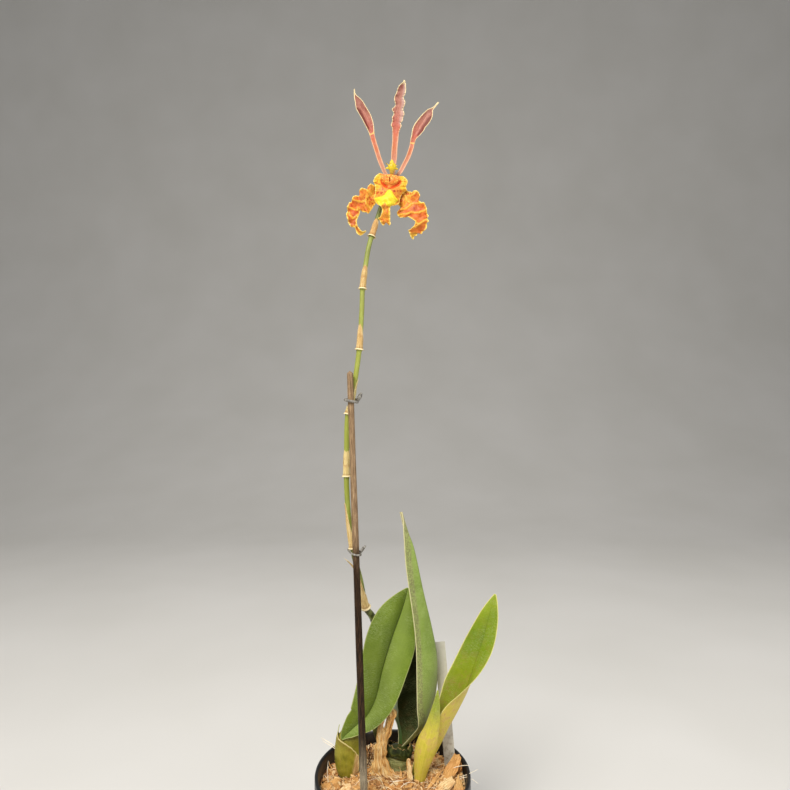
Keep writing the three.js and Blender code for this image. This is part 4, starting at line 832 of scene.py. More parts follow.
fit(blade("leaf_right_blade", LEAF_RIGHT, 56, 170, leaf_wave(0.6, 2, 1)),
    leaf_skin("leaf_young", YOUNG_FACE, YOUNG_BACK, (208, 188, 78), (222, 214, 140), foot_reach=0.3,
              mottle=0.6,
              foot_height=(0.17, 0.235)), "leaf_young", "leaf_right")

# Leafy sheaths: thin short leaves that wrap a growth and end in a dry point. The left one is a cup round
# its pseudobulb with a slanting rim, the right one lies on the foot of the young leaf.
CUP_FOOT = 107.9
SHEATH_LEFT = [  # height, middle x and y, half width and half depth
    (107.9, -40.5, 8, 6.2, 4), (113, -41, 8, 8.9, 5.6), (118, -41, 8, 10.6, 6.6),
    (124, -40.6, 8.2, 12, 7.3),
    (130, -40, 8.6, 13, 7.5), (137, -39, 9, 13.6, 7.6), (145, -38.4, 9.5, 13, 7.4),
    (152, -38, 9.5, 11.6, 7), (157, -38, 9.5, 10.4, 6)]
SHEATH_RIM = [  # turn round the bulb from its left side, and the rim's height there
    (-180, 112), (-120, 122), (-60, 138), (-40, 145), (-22, 148), (-9, 153), (0, 156.5), (8, 154),
    (20, 148), (34, 146), (50, 145), (70, 143.4), (95, 140), (116, 135.5), (130, 130), (144, 121),
    (160, 113), (180, 112)]
OLIVE_FACE = ((110, 106, 22), (142, 134, 38), (160, 150, 56))
wall = np.array(SHEATH_LEFT, float)
rim_turn, rim_height = np.array(SHEATH_RIM, float).T
turn = np.linspace(-180, 180, 97)[None]
share = np.linspace(0, 1, 51)[:, None]
fine_turn = np.radians(turn)
torn_rim = np.interp(turn, rim_turn, rim_height) + np.clip((turn - 95) / 40, 0, 1) * (
    1.2 * np.sin(9 * fine_turn) + 0.9 * np.sin(23 * fine_turn + 1))
level = CUP_FOOT + (torn_rim - CUP_FOOT) * share
middle_x, middle_y, half_width, half_depth = (np.interp(level, wall[:, 0], wall[:, k])
                                              for k in (1, 2, 3, 4))
layers = []
for grow in (0.35, -0.15):
    rim_lift = 0.9 * share ** 8 * (0.3 + 0.7 * np.abs(np.sin(fine_turn / 2)))
    curl = grow + rim_lift + 0.12 * np.sin(21 * fine_turn + 0.1 * level)
    layers.append(np.stack([middle_x - (half_width + curl) * np.cos(fine_turn),
                            middle_y - (half_depth + curl) * np.sin(fine_turn), level], axis=2))
flat = np.stack([13 * fine_turn + 0 * level, level - CUP_FOOT, share + 0 * fine_turn], axis=2)
spot = np.stack([turn / 180 + 0 * level, share + 0 * turn, torn_rim - level], axis=2)
sheath = new_grid("sheath_left_cup", folded(*layers))
note(sheath, sheet=folded(flat, flat), spot=folded(spot, spot))
sewn(sheath)

cup = Finish("olive_cup", Specular_IOR_Level=0.3)
sheet, spot, where = cup.place("sheet"), cup.place("spot"), cup.place()
round_it, rim_gap = cup.part(spot, "X"), cup.part(spot, "Z")
cloud = cup.noise(where, 120, 4, 0.65)
veins = cup.noise(cup.stretch(sheet, (1.6, 0.06, 1)), 1.5, 4, 0.65)
specks = cup.step(cup.noise(where, 800, 3, 0.6), 0.56, 0.7)
colour = cup.ramp(cloud, *zip((0.3, 0.5, 0.7), OLIVE_FACE))
colour = cup.blend(cup.step(veins, 0.5, 0.75, 0, 0.5), colour, (168, 156, 82))
# Brown mottling near the rim, which also stands in for painted shade under the leaf
stain_and_shade = cup.times(cup.step(rim_gap, 7, 1.5), cup.step(cloud, 0.4, 0.62))
colour = cup.blend(cup.times(stain_and_shade, 0.75), colour, (106, 78, 14))
colour = cup.blend(cup.times(specks, 0.45), colour, (116, 88, 34))
dry_side = cup.step(cup.plus(round_it, cup.times(veins, 0.16)), 0.68, 0.78)
straw = cup.ramp(veins, (0.35, (150, 108, 58)), (0.55, (202, 168, 112)), (0.7, (236, 214, 164)))
colour = cup.blend(dry_side, colour, straw)
colour = cup.blend(cup.step(rim_gap, 0.5, 1.4, 0.8, 0), colour, (214, 196, 132))
point = cup.step(cup.size(cup.less(round_it, 0.01)), 0.05, 0.12, 1, 0)
colour = cup.blend(cup.times(point, cup.step(cup.part(where, "Z"), 0.144, 0.152)), colour, (184, 186, 120))
fit(sheath, cup.wear(Base_Color=colour, Roughness=cup.step(cloud, 0.3, 0.7, 0.4, 0.6),
                     Normal=cup.relief(veins, 0.3, 0.7)), "leafy_sheath", "sheath_left")

SHEATH_RIGHT = [
    (23, -5, 107.9, 6, 6.5, -8, -20, -20, -50, -40, 1.2),
    (24.3, -7.4, 120.7, 9, 8.5, -8, -20, -20, -50, -40, 1.2),
    (27, -9.3, 135, 12, 10.5, -8, -16, -16, -50, -36, 1.1),
    (30.4, -10.8, 149, 11.4, 10, -8, -14, -14, -46, -30, 1.1),
    (34.3, -11.4, 162, 8, 7.4, -8, -12, -12, -40, -24, 1),
    (37.3, -11, 174.6, 5.4, 5, -8, -10, -10, -30, -16, 1),
    (39.4, -9.6, 187, 2.8, 2.4, -8, -8, -8, -20, -10, 0.9),
    (40, -8.8, 196.5, 0.6, 0.6, -8, 0, 0, 0, 0, 0.8)]
OLIVE_INNER = ((116, 134, 24), (132, 148, 34), (156, 164, 56))
OLIVE_OUTER = ((104, 128, 20), (130, 148, 24), (160, 166, 44))
fit(blade("sheath_right_blade", SHEATH_RIGHT, 44, 110, leaf_wave(0.3, 2, 1)),
    leaf_skin("sheath_olive", OLIVE_INNER, OLIVE_OUTER, (214, 198, 78), (196, 190, 90), foot_reach=0.4,
              mottle=0.4,
              crease_shade=0, rim_share=0.3, foot_height=(0.15, 0.188), foot_face=1), "leafy_sheath",
              "sheath_right")

# Old sheath: last year's dead sheath, split in two twisted bundles of fibres with dark clefts between,
# splayed at the foot, and a small curled dry scale by the young leaf.
OLD_STRANDS = [
    [(-15.5, 3, 107, 7), (-15, 3, 114, 5.4), (-14.4, 3.5, 122.3, 3.8), (-13.9, 4, 134, 3),
     (-12.6, 4.2, 140.5, 2.8),
     (-11.6, 4.5, 149.6, 2.5), (-10.6, 5, 158.7, 2.2), (-9.2, 5.5, 166, 1.9), (-8.6, 5.8, 171.5, 0.9)],
    [(-4.5, 3.5, 107, 7), (-6, 3.6, 114, 5.6), (-8, 3.8, 122, 4.4), (-10, 4, 132, 3.5), (-9, 4, 140.5, 3.4),
     (-6, 4, 149.6, 3.3), (-3.2, 4, 158.7, 3.3), (-1.4, 4.4, 167.8, 4), (-1.4, 4.8, 174.5, 3),
     (-2.2, 5, 179.8, 0.9)]]
frayed = np.random.default_rng(7)
dry = Finish("dry_fibre", Roughness=0.85, Specular_IOR_Level=0.2)
sheet, where = dry.place("sheet"), dry.place()
threads = dry.noise(dry.stretch(sheet, (1.4, 0.09, 1)), 1.6, 5, 0.7)
cloud = dry.noise(where, 140, 4, 0.65)
tone = dry.part(sheet, "Z")
body = dry.ramp(tone, (0.0, (216, 166, 98)), (0.4, (240, 200, 134)), (0.8, (248, 218, 158)),
                (1.0, (252, 234, 190)))
grooves = dry.ramp(threads, (0.3, (120, 66, 30)), (0.43, (232, 202, 160)), (0.56, (255, 255, 250)))
dry_colour = dry.blend(0.85, body, grooves, "MULTIPLY")
dry_colour = dry.blend(dry.step(cloud, 0.54, 0.74, 0, 0.6), dry_colour, (190, 120, 66))
dry_material = dry.wear(Base_Color=dry_colour, Normal=dry.relief(threads, 0.6, 0.9))
BUNDLE = 34
CORE = 6
CORD_SIDES = 8


def closed_tube(line, radius, sides):
    """A round strand as one grid, its two ends drawn to their middles and its seam shut"""
    ring = strands(line[None], radius[None], sides)[0]
    ends = [np.repeat(end.mean(axis=1, keepdims=True), sides, axis=1) for end in (ring[:1], ring[-1:])]
    ring = np.concatenate([ends[0], ring, ends[1]])
    return np.concatenate([ring, ring[:, :1]], axis=1)[:, ::-1]


for k, stations in enumerate(OLD_STRANDS):
    line = smooth(stations, 72)
    across, ahead = sides_along(line[:, :3])
    run = np.linspace(0, 1, len(line))
    knots = 0.16 * np.sin(run * 31 + 2 * k) * np.clip(run * 4, 0, 1) + 0.1 * np.sin(run * 57)
    spread = line[:, 3] * (1 + knots)
    grids = []
    for strand in range(BUNDLE):
        core = strand < CORE
        out = 0.3 * frayed.random() if core else 0.72 + 0.3 * frayed.random()
        begin = frayed.uniform(0, 2 * math.pi)
        thick = 0.42 if core else frayed.uniform(0.1, 0.26)
        thick = thick * (1 + 0.3 * np.sin(run * frayed.uniform(9, 30) + begin))
        low = 0 if frayed.random() < 0.75 else frayed.uniform(0, 0.4)
        high = 1 if frayed.random() < 0.4 else frayed.uniform(0.6, 0.98)
        around = (begin + 2.4 * run + 0.5 * np.sin(run * frayed.uniform(5, 12) + begin))[:, None]
        share = low + (high - low) * run
        reach = np.interp(share, run, spread)
        centre, side, front = (read_at(share, run, values) for values in (line, across, ahead))
        path = centre + reach[:, None] * out * (side * np.cos(around) + 0.62 * front * np.sin(around))
        taper = np.clip(8 * (1 - run), 0.12, 1) * np.clip(12 * run + 0.3, 0.3, 1)
        grids.append(closed_tube(path, reach * thick * taper, CORD_SIDES))
    pieces = []
    for grid in grids:
        piece = new_grid("old_fibre", grid)
        rows, columns = grid.shape[:2]
        note(piece, sheet=np.stack(np.broadcast_arrays(
            np.linspace(0, 6, columns)[None] + frayed.uniform(0, 90), np.linspace(0, 62, rows)[:, None],
            np.float64(frayed.random())), axis=2))
        pieces.append(piece)
    for piece in pieces:
        piece.select_set(True)
    bpy.context.view_layer.objects.active = pieces[0]
    bpy.ops.object.join()
    bundle = sewn(bpy.context.object)
    bundle.name = bundle.data.name = f"old_sheath_bundle_{k + 1}"
    fit(bundle, dry_material, "dry_sheath", *(["old_sheath"] if k == 0 else []))

SHEATH_DRY = [
    (16, -6, 107.9, 3.2, 3.2, 14, 10, 10, 50, 50, 1.4),
    (15.2, -5.6, 116, 3.3, 3.3, 14, 10, 10, 60, 60, 1.4),
    (14.4, -5, 124, 3.1, 3.1, 14, 6, 6, 80, 80, 1.3),
    (13.8, -4.8, 130.5, 3, 3, 14, 0, 0, 110, 110, 1.2),
    (14.2, -5.6, 134, 1.8, 1.6, 14, 10, 10, 40, 40, 1)]
fit(blade("sheath_dry_blade", SHEATH_DRY, 24, 60, leaf_wave(0.5, 3, 0)), dry_material, "dry_sheath",
    "sheath_dry")

# Flower spike: one green jointed stem. It rises behind the left leaf, crosses behind the stake and is tied
# to it twice. At each joint there is a ring where a papery bract is attached.
SPIKE = [
    (-4.6, 24.2, 108.4, 3), (-8.5, 23, 128, 3.8), (-13.5, 22.5, 139, 3.8), (-17, 22.5, 151, 3.7),
    (-19, 22, 168.5, 3.6), (-18.5, 20, 193, 3.5), (-16.5, 16.5, 221, 3.4), (-15.5, 11, 242, 3.3),
    (-18.5, 2, 258, 3.1), (-24, -6.5, 269.5, 2.8), (-28.5, -15.5, 297, 2.4), (-33.6, -21, 320, 2.3),
    (-37, -22, 342, 2.3), (-39.8, -21.5, 377.5, 2.3), (-40, -20, 415, 2.3), (-39.2, -18.5, 440, 2.3),
    (-35.6, -17.8, 456, 2.2), (-32.3, -17, 476, 2.2), (-29.3, -16.5, 499, 2.2), (-27, -16, 534.5, 2.1),
    (-26.4, -15.5, 552, 2.1), (-24.5, -15, 568, 2.1), (-20.8, -14, 590.5, 2.1), (-15.5, -11.5, 609, 2),
    (-11, -8, 625, 1.9), (-7, -6, 639, 1.9), (-4.2, -6.2, 645.2, 1.6)]
JOINTS = [186, 269.5, 326, 388, 442, 498.5, 552, 598.5]
spike_line = smooth(SPIKE, 1200)[:, :3]
joint_runs = np.interp(JOINTS, spike_line[:, 2], run_of(spike_line))


def jointed(angle, t, run):
    swell = sum(0.16 * np.exp(-((run - at) / 1.6) ** 2) - 0.05 * np.exp(-((run - at - 3.4) / 1.2) ** 2)
                for at in joint_runs)
    return 1 + swell + 0.012 * np.sin(6 * angle + 0.02 * run)


spike_skin = Finish("spike_skin", Specular_IOR_Level=0.45)
sheet, where = spike_skin.place("sheet"), spike_skin.place()
rise = spike_skin.part(where, "Z")
cloud = spike_skin.noise(spike_skin.stretch(where, (1, 1, 0.35)), 160, 4, 0.6)
lines = spike_skin.noise(spike_skin.stretch(sheet, (1.6, 0.05, 1)), 1.8, 3)
colour = spike_skin.ramp(
    spike_skin.step(rise, 0.26, 0.65), (0.0, (66, 70, 32)), (0.03, (104, 110, 44)), (0.2, (142, 150, 58)),
    (0.6, (152, 158, 66)), (0.9, (140, 146, 66)), (1.0, (70, 80, 24)))
colour = spike_skin.blend(spike_skin.step(cloud, 0.42, 0.7, 0, 0.45), colour, (178, 190, 96))
colour = spike_skin.blend(spike_skin.step(lines, 0.52, 0.75, 0, 0.3), colour, (86, 100, 34))
fit(stem("flower_spike_stem", SPIKE, 24, 520, jointed, 1.2), spike_skin.wear(
    Base_Color=colour, Roughness=spike_skin.step(cloud, 0.3, 0.7, 0.4, 0.55),
    Normal=spike_skin.relief(lines, 0.12, 0.6)), "stem", "flower_spike")

# Bracts: papery sheaths that wrap the spike above each joint, drawn out to a point on one side, with a
# pale rolled foot. Each is given by its height, length, the way its point faces, how far that peels off, how
# steeply its rim is cut, and its tone.
BRACTS = [
    (186, 38, 180, 1.5, 3, 0.4), (269.5, 51, -62, 8.5, 2, 0.5), (326, 40, -60, 1.6, 2.4, 0.5),
    (388, 29, -70, 0.3, 0.12, 0.7), (442, 31, 62, 2.2, 4, 0.9), (498.5, 27, -30, 0.6, 1.5, 0.3),
    (552, 25, 0, 0.6, 1.2, 0.35), (598.5, 19.5, -20, 0.3, 0.8, 0.1)]
spike_radius = smooth(SPIKE, 1200)[:, 3]


def on_spike(level):
    """Points on the spike's middle line, at some heights"""
    return read_at(level, spike_line[:, 2], spike_line)


def bract_piece(name, height, length, turn, peel, cut, tone, sides=48, rows=44):
    """A papery tube, cut to a point: its outside and inside are one folded grid"""
    angle = np.linspace(0, 2 * math.pi, sides + 1)[None]
    up = np.linspace(0, 1, rows + 1)[:, None]
    reach = 0.22 + 0.78 * np.abs(np.cos(angle / 2)) ** (2 * cut)
    reach = reach + 0.025 * np.sin(7 * angle) * np.sin(angle / 2) ** 2
    share = up * reach
    level = height + length * share
    middle = on_spike(level)
    radius = np.interp(level, spike_line[:, 2], spike_radius)
    ahead = np.stack([np.sin(np.radians(turn) + angle), -np.cos(np.radians(turn) + angle), 0 * angle],
                     axis=2)
    tangent = on_spike(level + 1) - middle
    tangent /= np.linalg.norm(tangent, axis=2, keepdims=True)
    out = ahead - tangent * (ahead * tangent).sum(axis=2, keepdims=True)
    out /= np.linalg.norm(out, axis=2, keepdims=True)
    flare = 1.1 * np.exp(-share * length / 0.9) + 0.35 * np.exp(-share * length / 4)
    free = peel * np.maximum(0, share - 0.62) ** 2 * 6.9
    crinkle = 0.1 * np.sin(3 * angle + 9 * up) * up + 0.05 * np.sin(13 * angle)
    narrowed = 1 - 0.55 * np.clip((share - 0.62) / 0.38, 0, 1)
    layers = [middle + out * ((radius + grow) * narrowed + flare + free + crinkle)[:, :, None]
              for grow in (0.55, 0.25)]
    piece = new_grid(name, folded(*layers))
    flat = np.stack([np.broadcast_to(2.6 * angle, radius.shape), level - height,
                     np.full(radius.shape, tone)], axis=2)
    spot = np.stack([share, (reach - share) * length, np.broadcast_to(up, radius.shape)], axis=2)
    note(piece, sheet=folded(flat, flat), spot=folded(spot, spot))
    return sewn(piece)


paper = Finish("papery_bract", Roughness=0.8, Specular_IOR_Level=0.25)
sheet, spot, where = paper.place("sheet"), paper.place("spot"), paper.place()
threads = paper.noise(paper.stretch(sheet, (2.6, 0.08, 1)), 1.4, 4, 0.65)
tone, above_foot, below_rim = paper.part(sheet, "Z"), paper.part(sheet, "Y"), paper.part(spot, "Y")
cloud = paper.noise(where, 180, 3)
tan = paper.ramp(threads, (0.3, (124, 80, 40)), (0.46, (184, 136, 80)), (0.62, (214, 178, 124)))
pale = paper.ramp(threads, (0.3, (168, 150, 76)), (0.46, (212, 194, 126)), (0.62, (236, 224, 174)))
colour = paper.blend(tone, tan, pale)
colour = paper.blend(paper.step(cloud, 0.5, 0.7, 0, 0.55), colour, (168, 116, 66))
edges = paper.calc("MAXIMUM", paper.step(above_foot, 0.6, 1.5, 0.9, 0),
                   paper.step(below_rim, 0.4, 1.4, 0.8, 0))
colour = paper.blend(edges, colour, (240, 222, 178))
under_foot = paper.step(above_foot, 1.4, 3.4, 0.5, 0)
colour = paper.blend(paper.times(under_foot, paper.step(above_foot, 1.2, 1.6)), colour, (120, 80, 44))
bract_material = paper.wear(Base_Color=colour, Normal=paper.relief(threads, 0.25, 0.8))
for k, sizes in enumerate(BRACTS):
    fit(bract_piece(f"bract_{k + 1}_paper", *sizes), bract_material, "dry_sheath", f"bract_{k + 1}")

# Stake: a round stained wooden stick. Its top is worn to bare brown, and its foot is grey from watering.
STAKE_BASE, STAKE_TOP = (-20, -41.5, 15), (-37, -23.7, 480)
stake_stations = [tuple(np.array(STAKE_BASE) + (np.array(STAKE_TOP) - STAKE_BASE) * t) + (3.3 - 0.7 * t, 1)
                  for t in np.linspace(0, 1, 9)]


def whittled(angle, t, run):
    return 1 + 0.02 * np.sin(5 * angle
                             + 0.03 * run) + 0.03 * np.sin(0.06 * run) + 0.015 * np.sin(12 * angle + 0.3)


wood = Finish("stained_wood", Specular_IOR_Level=0.15)
sheet, where = wood.place("sheet"), wood.place()
fine = wood.noise(wood.stretch(sheet, (2.4, 0.06, 1)), 1.6, 5, 0.7)
rise = wood.part(where, "Z")
blotches = wood.noise(wood.stretch(where, (1, 1, 0.3)), 130, 4, 0.6)
colour = wood.ramp(fine, (0.36, (10, 6, 3)), (0.5, (33, 22, 12)), (0.62, (84, 58, 36)))
upper = wood.ramp(fine, (0.36, (84, 64, 44)), (0.5, (132, 106, 78)), (0.62, (184, 156, 122)))
colour = wood.blend(wood.step(wood.plus(rise, wood.times(blotches, 0.05)), 0.33, 0.375), colour, upper)
grey = wood.ramp(fine, (0.36, (84, 74, 60)), (0.52, (150, 136, 112)), (0.66, (206, 194, 168)))
low = wood.step(wood.plus(rise, wood.times(blotches, 0.03)), 0.15, 0.185, 0.95, 0)
colour = wood.blend(low, colour, grey)
fit(stem("stake_stick", stake_stations, 28, 220, whittled, 0.8), wood.wear(
    Base_Color=colour, Roughness=wood.step(blotches, 0.3, 0.7, 0.42, 0.62),
    Normal=wood.relief(fine, 0.25, 0.7)), "stake", "stake")

# Ties: soft coated wire, wound once round stake and spike, its two ends twisted together and bent up.
# Each is given by its height, tilt, the side of its knot, how far it stands off, thickness and spread.
TIES = {"tie_upper": (455.5, -0.1, -60, 3.7, 1.2, 0.1), "tie_lower": (324.5, -0.12, -100, 3.2, 0.85, 0.9)}
WIRE_SIDES = 14
coat = Finish("tie_coat", Specular_IOR_Level=0.5)
where = coat.place()
rub = coat.noise(where, 500, 4)
coat_material = coat.wear(
    Base_Color=coat.ramp(rub, (0.35, (84, 80, 74)), (0.55, (134, 130, 122)), (0.75, (170, 166, 158))),
    Roughness=coat.step(rub, 0.3, 0.7, 0.3, 0.5), Normal=coat.relief(rub, 0.1, 0.5))
for name, (height, tilt, knot, held, thick, spread) in TIES.items():
    at = on_spike(height)
    pole = np.array(STAKE_BASE) + (np.array(STAKE_TOP) - STAKE_BASE) * (height - STAKE_BASE[2]) / (
        STAKE_TOP[2] - STAKE_BASE[2])
    toward = at - pole
    toward[2] = 0
    toward /= np.linalg.norm(toward)
    beside = np.array([-toward[1], toward[0], 0])
    start = math.radians(knot)
    turn = start + np.linspace(0, 2 * math.pi, 49)
    share = 0.5 + 0.5 * np.tanh(3.2 * np.cos(turn))
    centre = pole * (1 - share)[:, None] + at * share[:, None]
    round_pole = toward * np.cos(turn)[:, None] + beside * np.sin(turn)[:, None]
    loops = centre + (held + 0.2 + thick) * round_pole
    loops[:, 2] = height - thick * 2.1 * (turn - start) / (2 * math.pi) + tilt * (loops[:, 0] - pole[0])
    out = toward * math.cos(start) + beside * math.sin(start)
    over = np.array([-out[1], out[0], 0])
    twist = np.linspace(0, 1, 31)[1:, None]
    ends = []
    for which, foot in ((0, loops[0]), (1, loops[-1])):
        spin = math.pi * (which + 3 * twist)
        parted = (which - 0.5) * spread * 9.6 * np.clip(twist - 0.75, 0, 1) ** 1.2
        path = (loops[0] + out * (3.6 * twist + parted) + over * thick * np.sin(spin)
                + np.array([0, 0, 1]) * (4.6 * twist - 0.6 + thick * np.cos(spin)))
        join = np.clip(1 - twist * 5, 0, 1)
        ends.append(path * (1 - join) + (foot + out * 0.5 * twist) * join)
    wire = np.concatenate([ends[0][::-1], loops, ends[1]])
    tube = closed_tube(wire, np.full(len(wire), thick), WIRE_SIDES)
    fit(sewn(new_grid(name + "_wire", tube)), coat_material, "tie", name)

# Plant label: a thin white plastic strip pushed into the medium, left bare.
LABEL_FOOT, LABEL_HEAD = np.array((55, 18, 97)), np.array((44.5, 33, 223))
LABEL_SIZE = (10.5, 0.8, 127.5)
LABEL_EDGE = 0.18
label_up = (LABEL_HEAD - LABEL_FOOT) / np.linalg.norm(LABEL_HEAD - LABEL_FOOT)
bpy.ops.object.select_all(action="DESELECT")
bpy.ops.mesh.primitive_cube_add(size=1)
card = bpy.context.object
card.name = card.data.name = "plant_label_strip"
card.data.transform(Matrix.Diagonal((*LABEL_SIZE, 1)))
corners = card.modifiers.new("corners", "BEVEL")
corners.width = LABEL_EDGE
corners.segments = 3
bpy.ops.object.modifier_apply(modifier=corners.name)
quaternion = Vector((0, 0, 1)).rotation_difference(Vector(label_up))
card.data.transform(quaternion.to_matrix().to_4x4())
card.data.transform(Matrix.Translation((LABEL_FOOT + LABEL_HEAD) / 2))
card.data.transform(Matrix.Scale(MM, 4))
bpy.ops.object.shade_smooth_by_angle(angle=math.radians(35))
card_paint = Finish("label_plastic", Specular_IOR_Level=0.5, Roughness=0.35)
where = card_paint.place()
dirt = card_paint.noise(where, 240, 5, 0.7)
rise = card_paint.part(where, "Z")
soiled = card_paint.times(card_paint.step(dirt, 0.45, 0.7), card_paint.step(rise, 0.11, 0.17, 0.8, 0.12))
fit(card, card_paint.wear(
    Base_Color=card_paint.blend(soiled, (206, 202, 188), (140, 118, 88)),
    Roughness=card_paint.step(dirt, 0.3, 0.7, 0.3, 0.45),
    Normal=card_paint.relief(card_paint.noise(where, 900, 2), 0.03, 0.4)), "label", "plant_label")

# Flower, upright parts: the dorsal sepal and the two petals are narrow straps on long stalks, with dusky,
# pale-edged, folded blades. A row is the left margin, midrib and right margin, across and down on an
# enlarged view of the photo, then how many millimetres the left and the right margin stand forward.
DORSAL_SEPAL = [
    (775, 1800, 815, 1800, 850, 1800, 0.8, 0.8), (772, 1650, 815, 1650, 858, 1650, 0.8, 0.8),
    (775, 1440, 832, 1440, 885, 1440, 1, 1), (785, 1300, 840, 1300, 890, 1300, 1, 1),
    (797, 1150, 850, 1150, 905, 1150, 1, 1), (797, 1000, 855, 1000, 922, 1000, 1, 1.2),
    (792, 930, 860, 930, 945, 950, 1.6, 1.8), (772, 890, 865, 880, 965, 890, 2.4, 2.6),
    (785, 840, 872, 830, 955, 850, 1, 1), (795, 800, 880, 790, 985, 800, 1.8, 2.2),
    (790, 750, 885, 740, 995, 740, 2.4, 1.6), (820, 690, 895, 690, 1015, 690, 0.8, 2.6),
    (815, 650, 903, 640, 1005, 640, 1.6, 1.6), (790, 598, 910, 600, 992, 600, 2.6, 1),
    (825, 562, 917, 560, 1005, 560, 1.2, 1.8), (850, 520, 925, 520, 1020, 530, 0.8, 2.4),
    (845, 480, 932, 480, 1032, 480, 2, 2.6), (832, 430, 940, 430, 1018, 430, 2.6, 1.4),
    (835, 375, 948, 380, 1000, 385, 1.8, 0.8), (855, 330, 955, 330, 1025, 340, 2.4, 2),
    (875, 285, 963, 280, 1040, 285, 1.4, 2.4), (890, 230, 972, 230, 1045, 225, 2, 1.6),
    (915, 180, 980, 180, 1038, 175, 1.4, 1.4), (950, 135, 995, 138, 1042, 145, 1, 1),
    (985, 108, 1008, 108, 1032, 112, 0.6, 0.6), (1005, 75, 1015, 72, 1024, 75, 0, 0)]
PETAL_LEFT = [
    (690, 1840, 715, 1825, 740, 1810, 0.8, 0.8), (635, 1755, 655, 1735, 690, 1715, 0.8, 0.8),
    (590, 1660, 622, 1640, 655, 1620, 0.8, 0.8), (545, 1560, 580, 1540, 615, 1510, 0.8, 0.8),
    (505, 1440, 545, 1425, 585, 1420, 1, 1), (470, 1330, 512, 1310, 550, 1300, 1, 1),
    (435, 1220, 480, 1200, 515, 1190, 1, 1), (405, 1120, 452, 1100, 487, 1090, 1, 1),
    (380, 1040, 430, 1030, 475, 1020, 1.2, 1.2), (340, 950, 400, 930, 468, 930, 3, 1.5),
    (305, 880, 370, 860, 460, 860, 4, 1.6), (265, 800, 340, 780, 440, 780, 4.4, 1.7),
    (225, 730, 305, 700, 415, 705, 4.6, 1.8), (185, 665, 270, 630, 380, 640, 4.6, 2),
    (150, 600, 240, 570, 345, 580, 4.2, 1.8), (132, 530, 210, 510, 310, 520, 3.4, 1.7),
    (125, 460, 185, 450, 270, 455, 2.4, 1.5), (112, 400, 155, 395, 215, 395, 1.2, 1),
    (108, 350, 130, 350, 155, 345, 0.6, 0.6), (106, 300, 118, 300, 130, 300, 0.3, 0.3),
    (106, 250, 114, 250, 124, 250, 0.1, 0.1), (110, 228, 115, 226, 120, 228, 0, 0)]
PETAL_RIGHT = [
    (815, 1800, 840, 1825, 870, 1850, 0.8, 0.8), (862, 1765, 890, 1785, 920, 1800, 0.8, 0.8),
    (911, 1700, 940, 1722, 972, 1742, 0.8, 0.8), (950, 1622, 985, 1640, 1022, 1660, 0.8, 0.8),
    (1000, 1530, 1035, 1545, 1075, 1555, 1, 1), (1040, 1450, 1080, 1455, 1125, 1460, 1, 1),
    (1070, 1370, 1110, 1375, 1155, 1375, 1, 1), (1095, 1290, 1140, 1295, 1180, 1300, 1, 1),
    (1115, 1215, 1160, 1215, 1200, 1215, 1.2, 1.2), (1125, 1140, 1180, 1140, 1225, 1140, 1.5, 2.4),
    (1140, 1060, 1200, 1070, 1265, 1095, 1.6, 3.4), (1150, 1000, 1230, 1010, 1320, 1040, 1.7, 4),
    (1165, 930, 1265, 950, 1365, 985, 1.8, 4.2), (1200, 860, 1300, 890, 1400, 920, 1.8, 4),
    (1245, 800, 1335, 830, 1450, 865, 1.8, 3.8), (1290, 740, 1370, 770, 1490, 805, 1.7, 3.6),
    (1335, 690, 1405, 720, 1520, 740, 1.5, 3.2), (1385, 640, 1440, 670, 1528, 670, 1.4, 2.4),
    (1430, 600, 1475, 630, 1530, 620, 1.2, 1.6), (1480, 580, 1505, 600, 1540, 600, 0.8, 0.8),
    (1530, 560, 1545, 570, 1562, 575, 0.4, 0.4), (1575, 515, 1585, 522, 1597, 530, 0.2, 0.2),
    (1618, 465, 1627, 472, 1640, 482, 0, 0)]
UPPER_VIEW = (348, 76, 18)  # the view's left and top edges on the photo, and how much it is enlarged
PHOTO_MIDDLE, PHOTO_FOCUS = 395, 620
STRAPS = {  # rows, depths and thicknesses by share of the length, waves of the margin, dark side, joint
    "dorsal_sepal": (DORSAL_SEPAL, [(0, -5.6), (0.1, -8), (0.4, -9.5), (0.7, -11), (1, -14)],
                     [(0, 1.5), (0.25, 1.5), (0.5, 1.2), (1, 0.9)], 0.35, 0, []),
    "petal_left": (PETAL_LEFT, [(0, -8.3), (0.3, -11.5), (0.6, -13), (1, -17.5)],
                   [(0, 1.4), (0.4, 1.4), (1, 0.9)], 0.1, -1, [[(385, 1055), (475, 1025)]]),
    "petal_right": (PETAL_RIGHT, [(0, -8.8), (0.3, -11.5), (0.6, -13), (1, -17.5)],
                    [(0, 1.4), (0.4, 1.4), (1, 0.9)], 0.1, 1, [[(1115, 1205), (1200, 1215)]])}
JOINT_DEPTH = -12.5
FAR_OFF = 99.0


def seen(view, across, down, depth):
    """Millimetres across and up, of a point that is drawn on a view and lies at a depth"""
    left, top, enlarged = view
    pixel = (depth - CAMERA[1]) / PHOTO_FOCUS
    x = CAMERA[0] + (left + across / enlarged - PHOTO_MIDDLE) * pixel
    z = CAMERA[2] - (top + down / enlarged - PHOTO_MIDDLE) * pixel
    return round(x, 1), round(z, 1)


def drawn(view, lines, depth):
    """Lines drawn on a view, in millimetres across and up"""
    return [[seen(view, across, down, depth) for across, down in line] for line in lines]


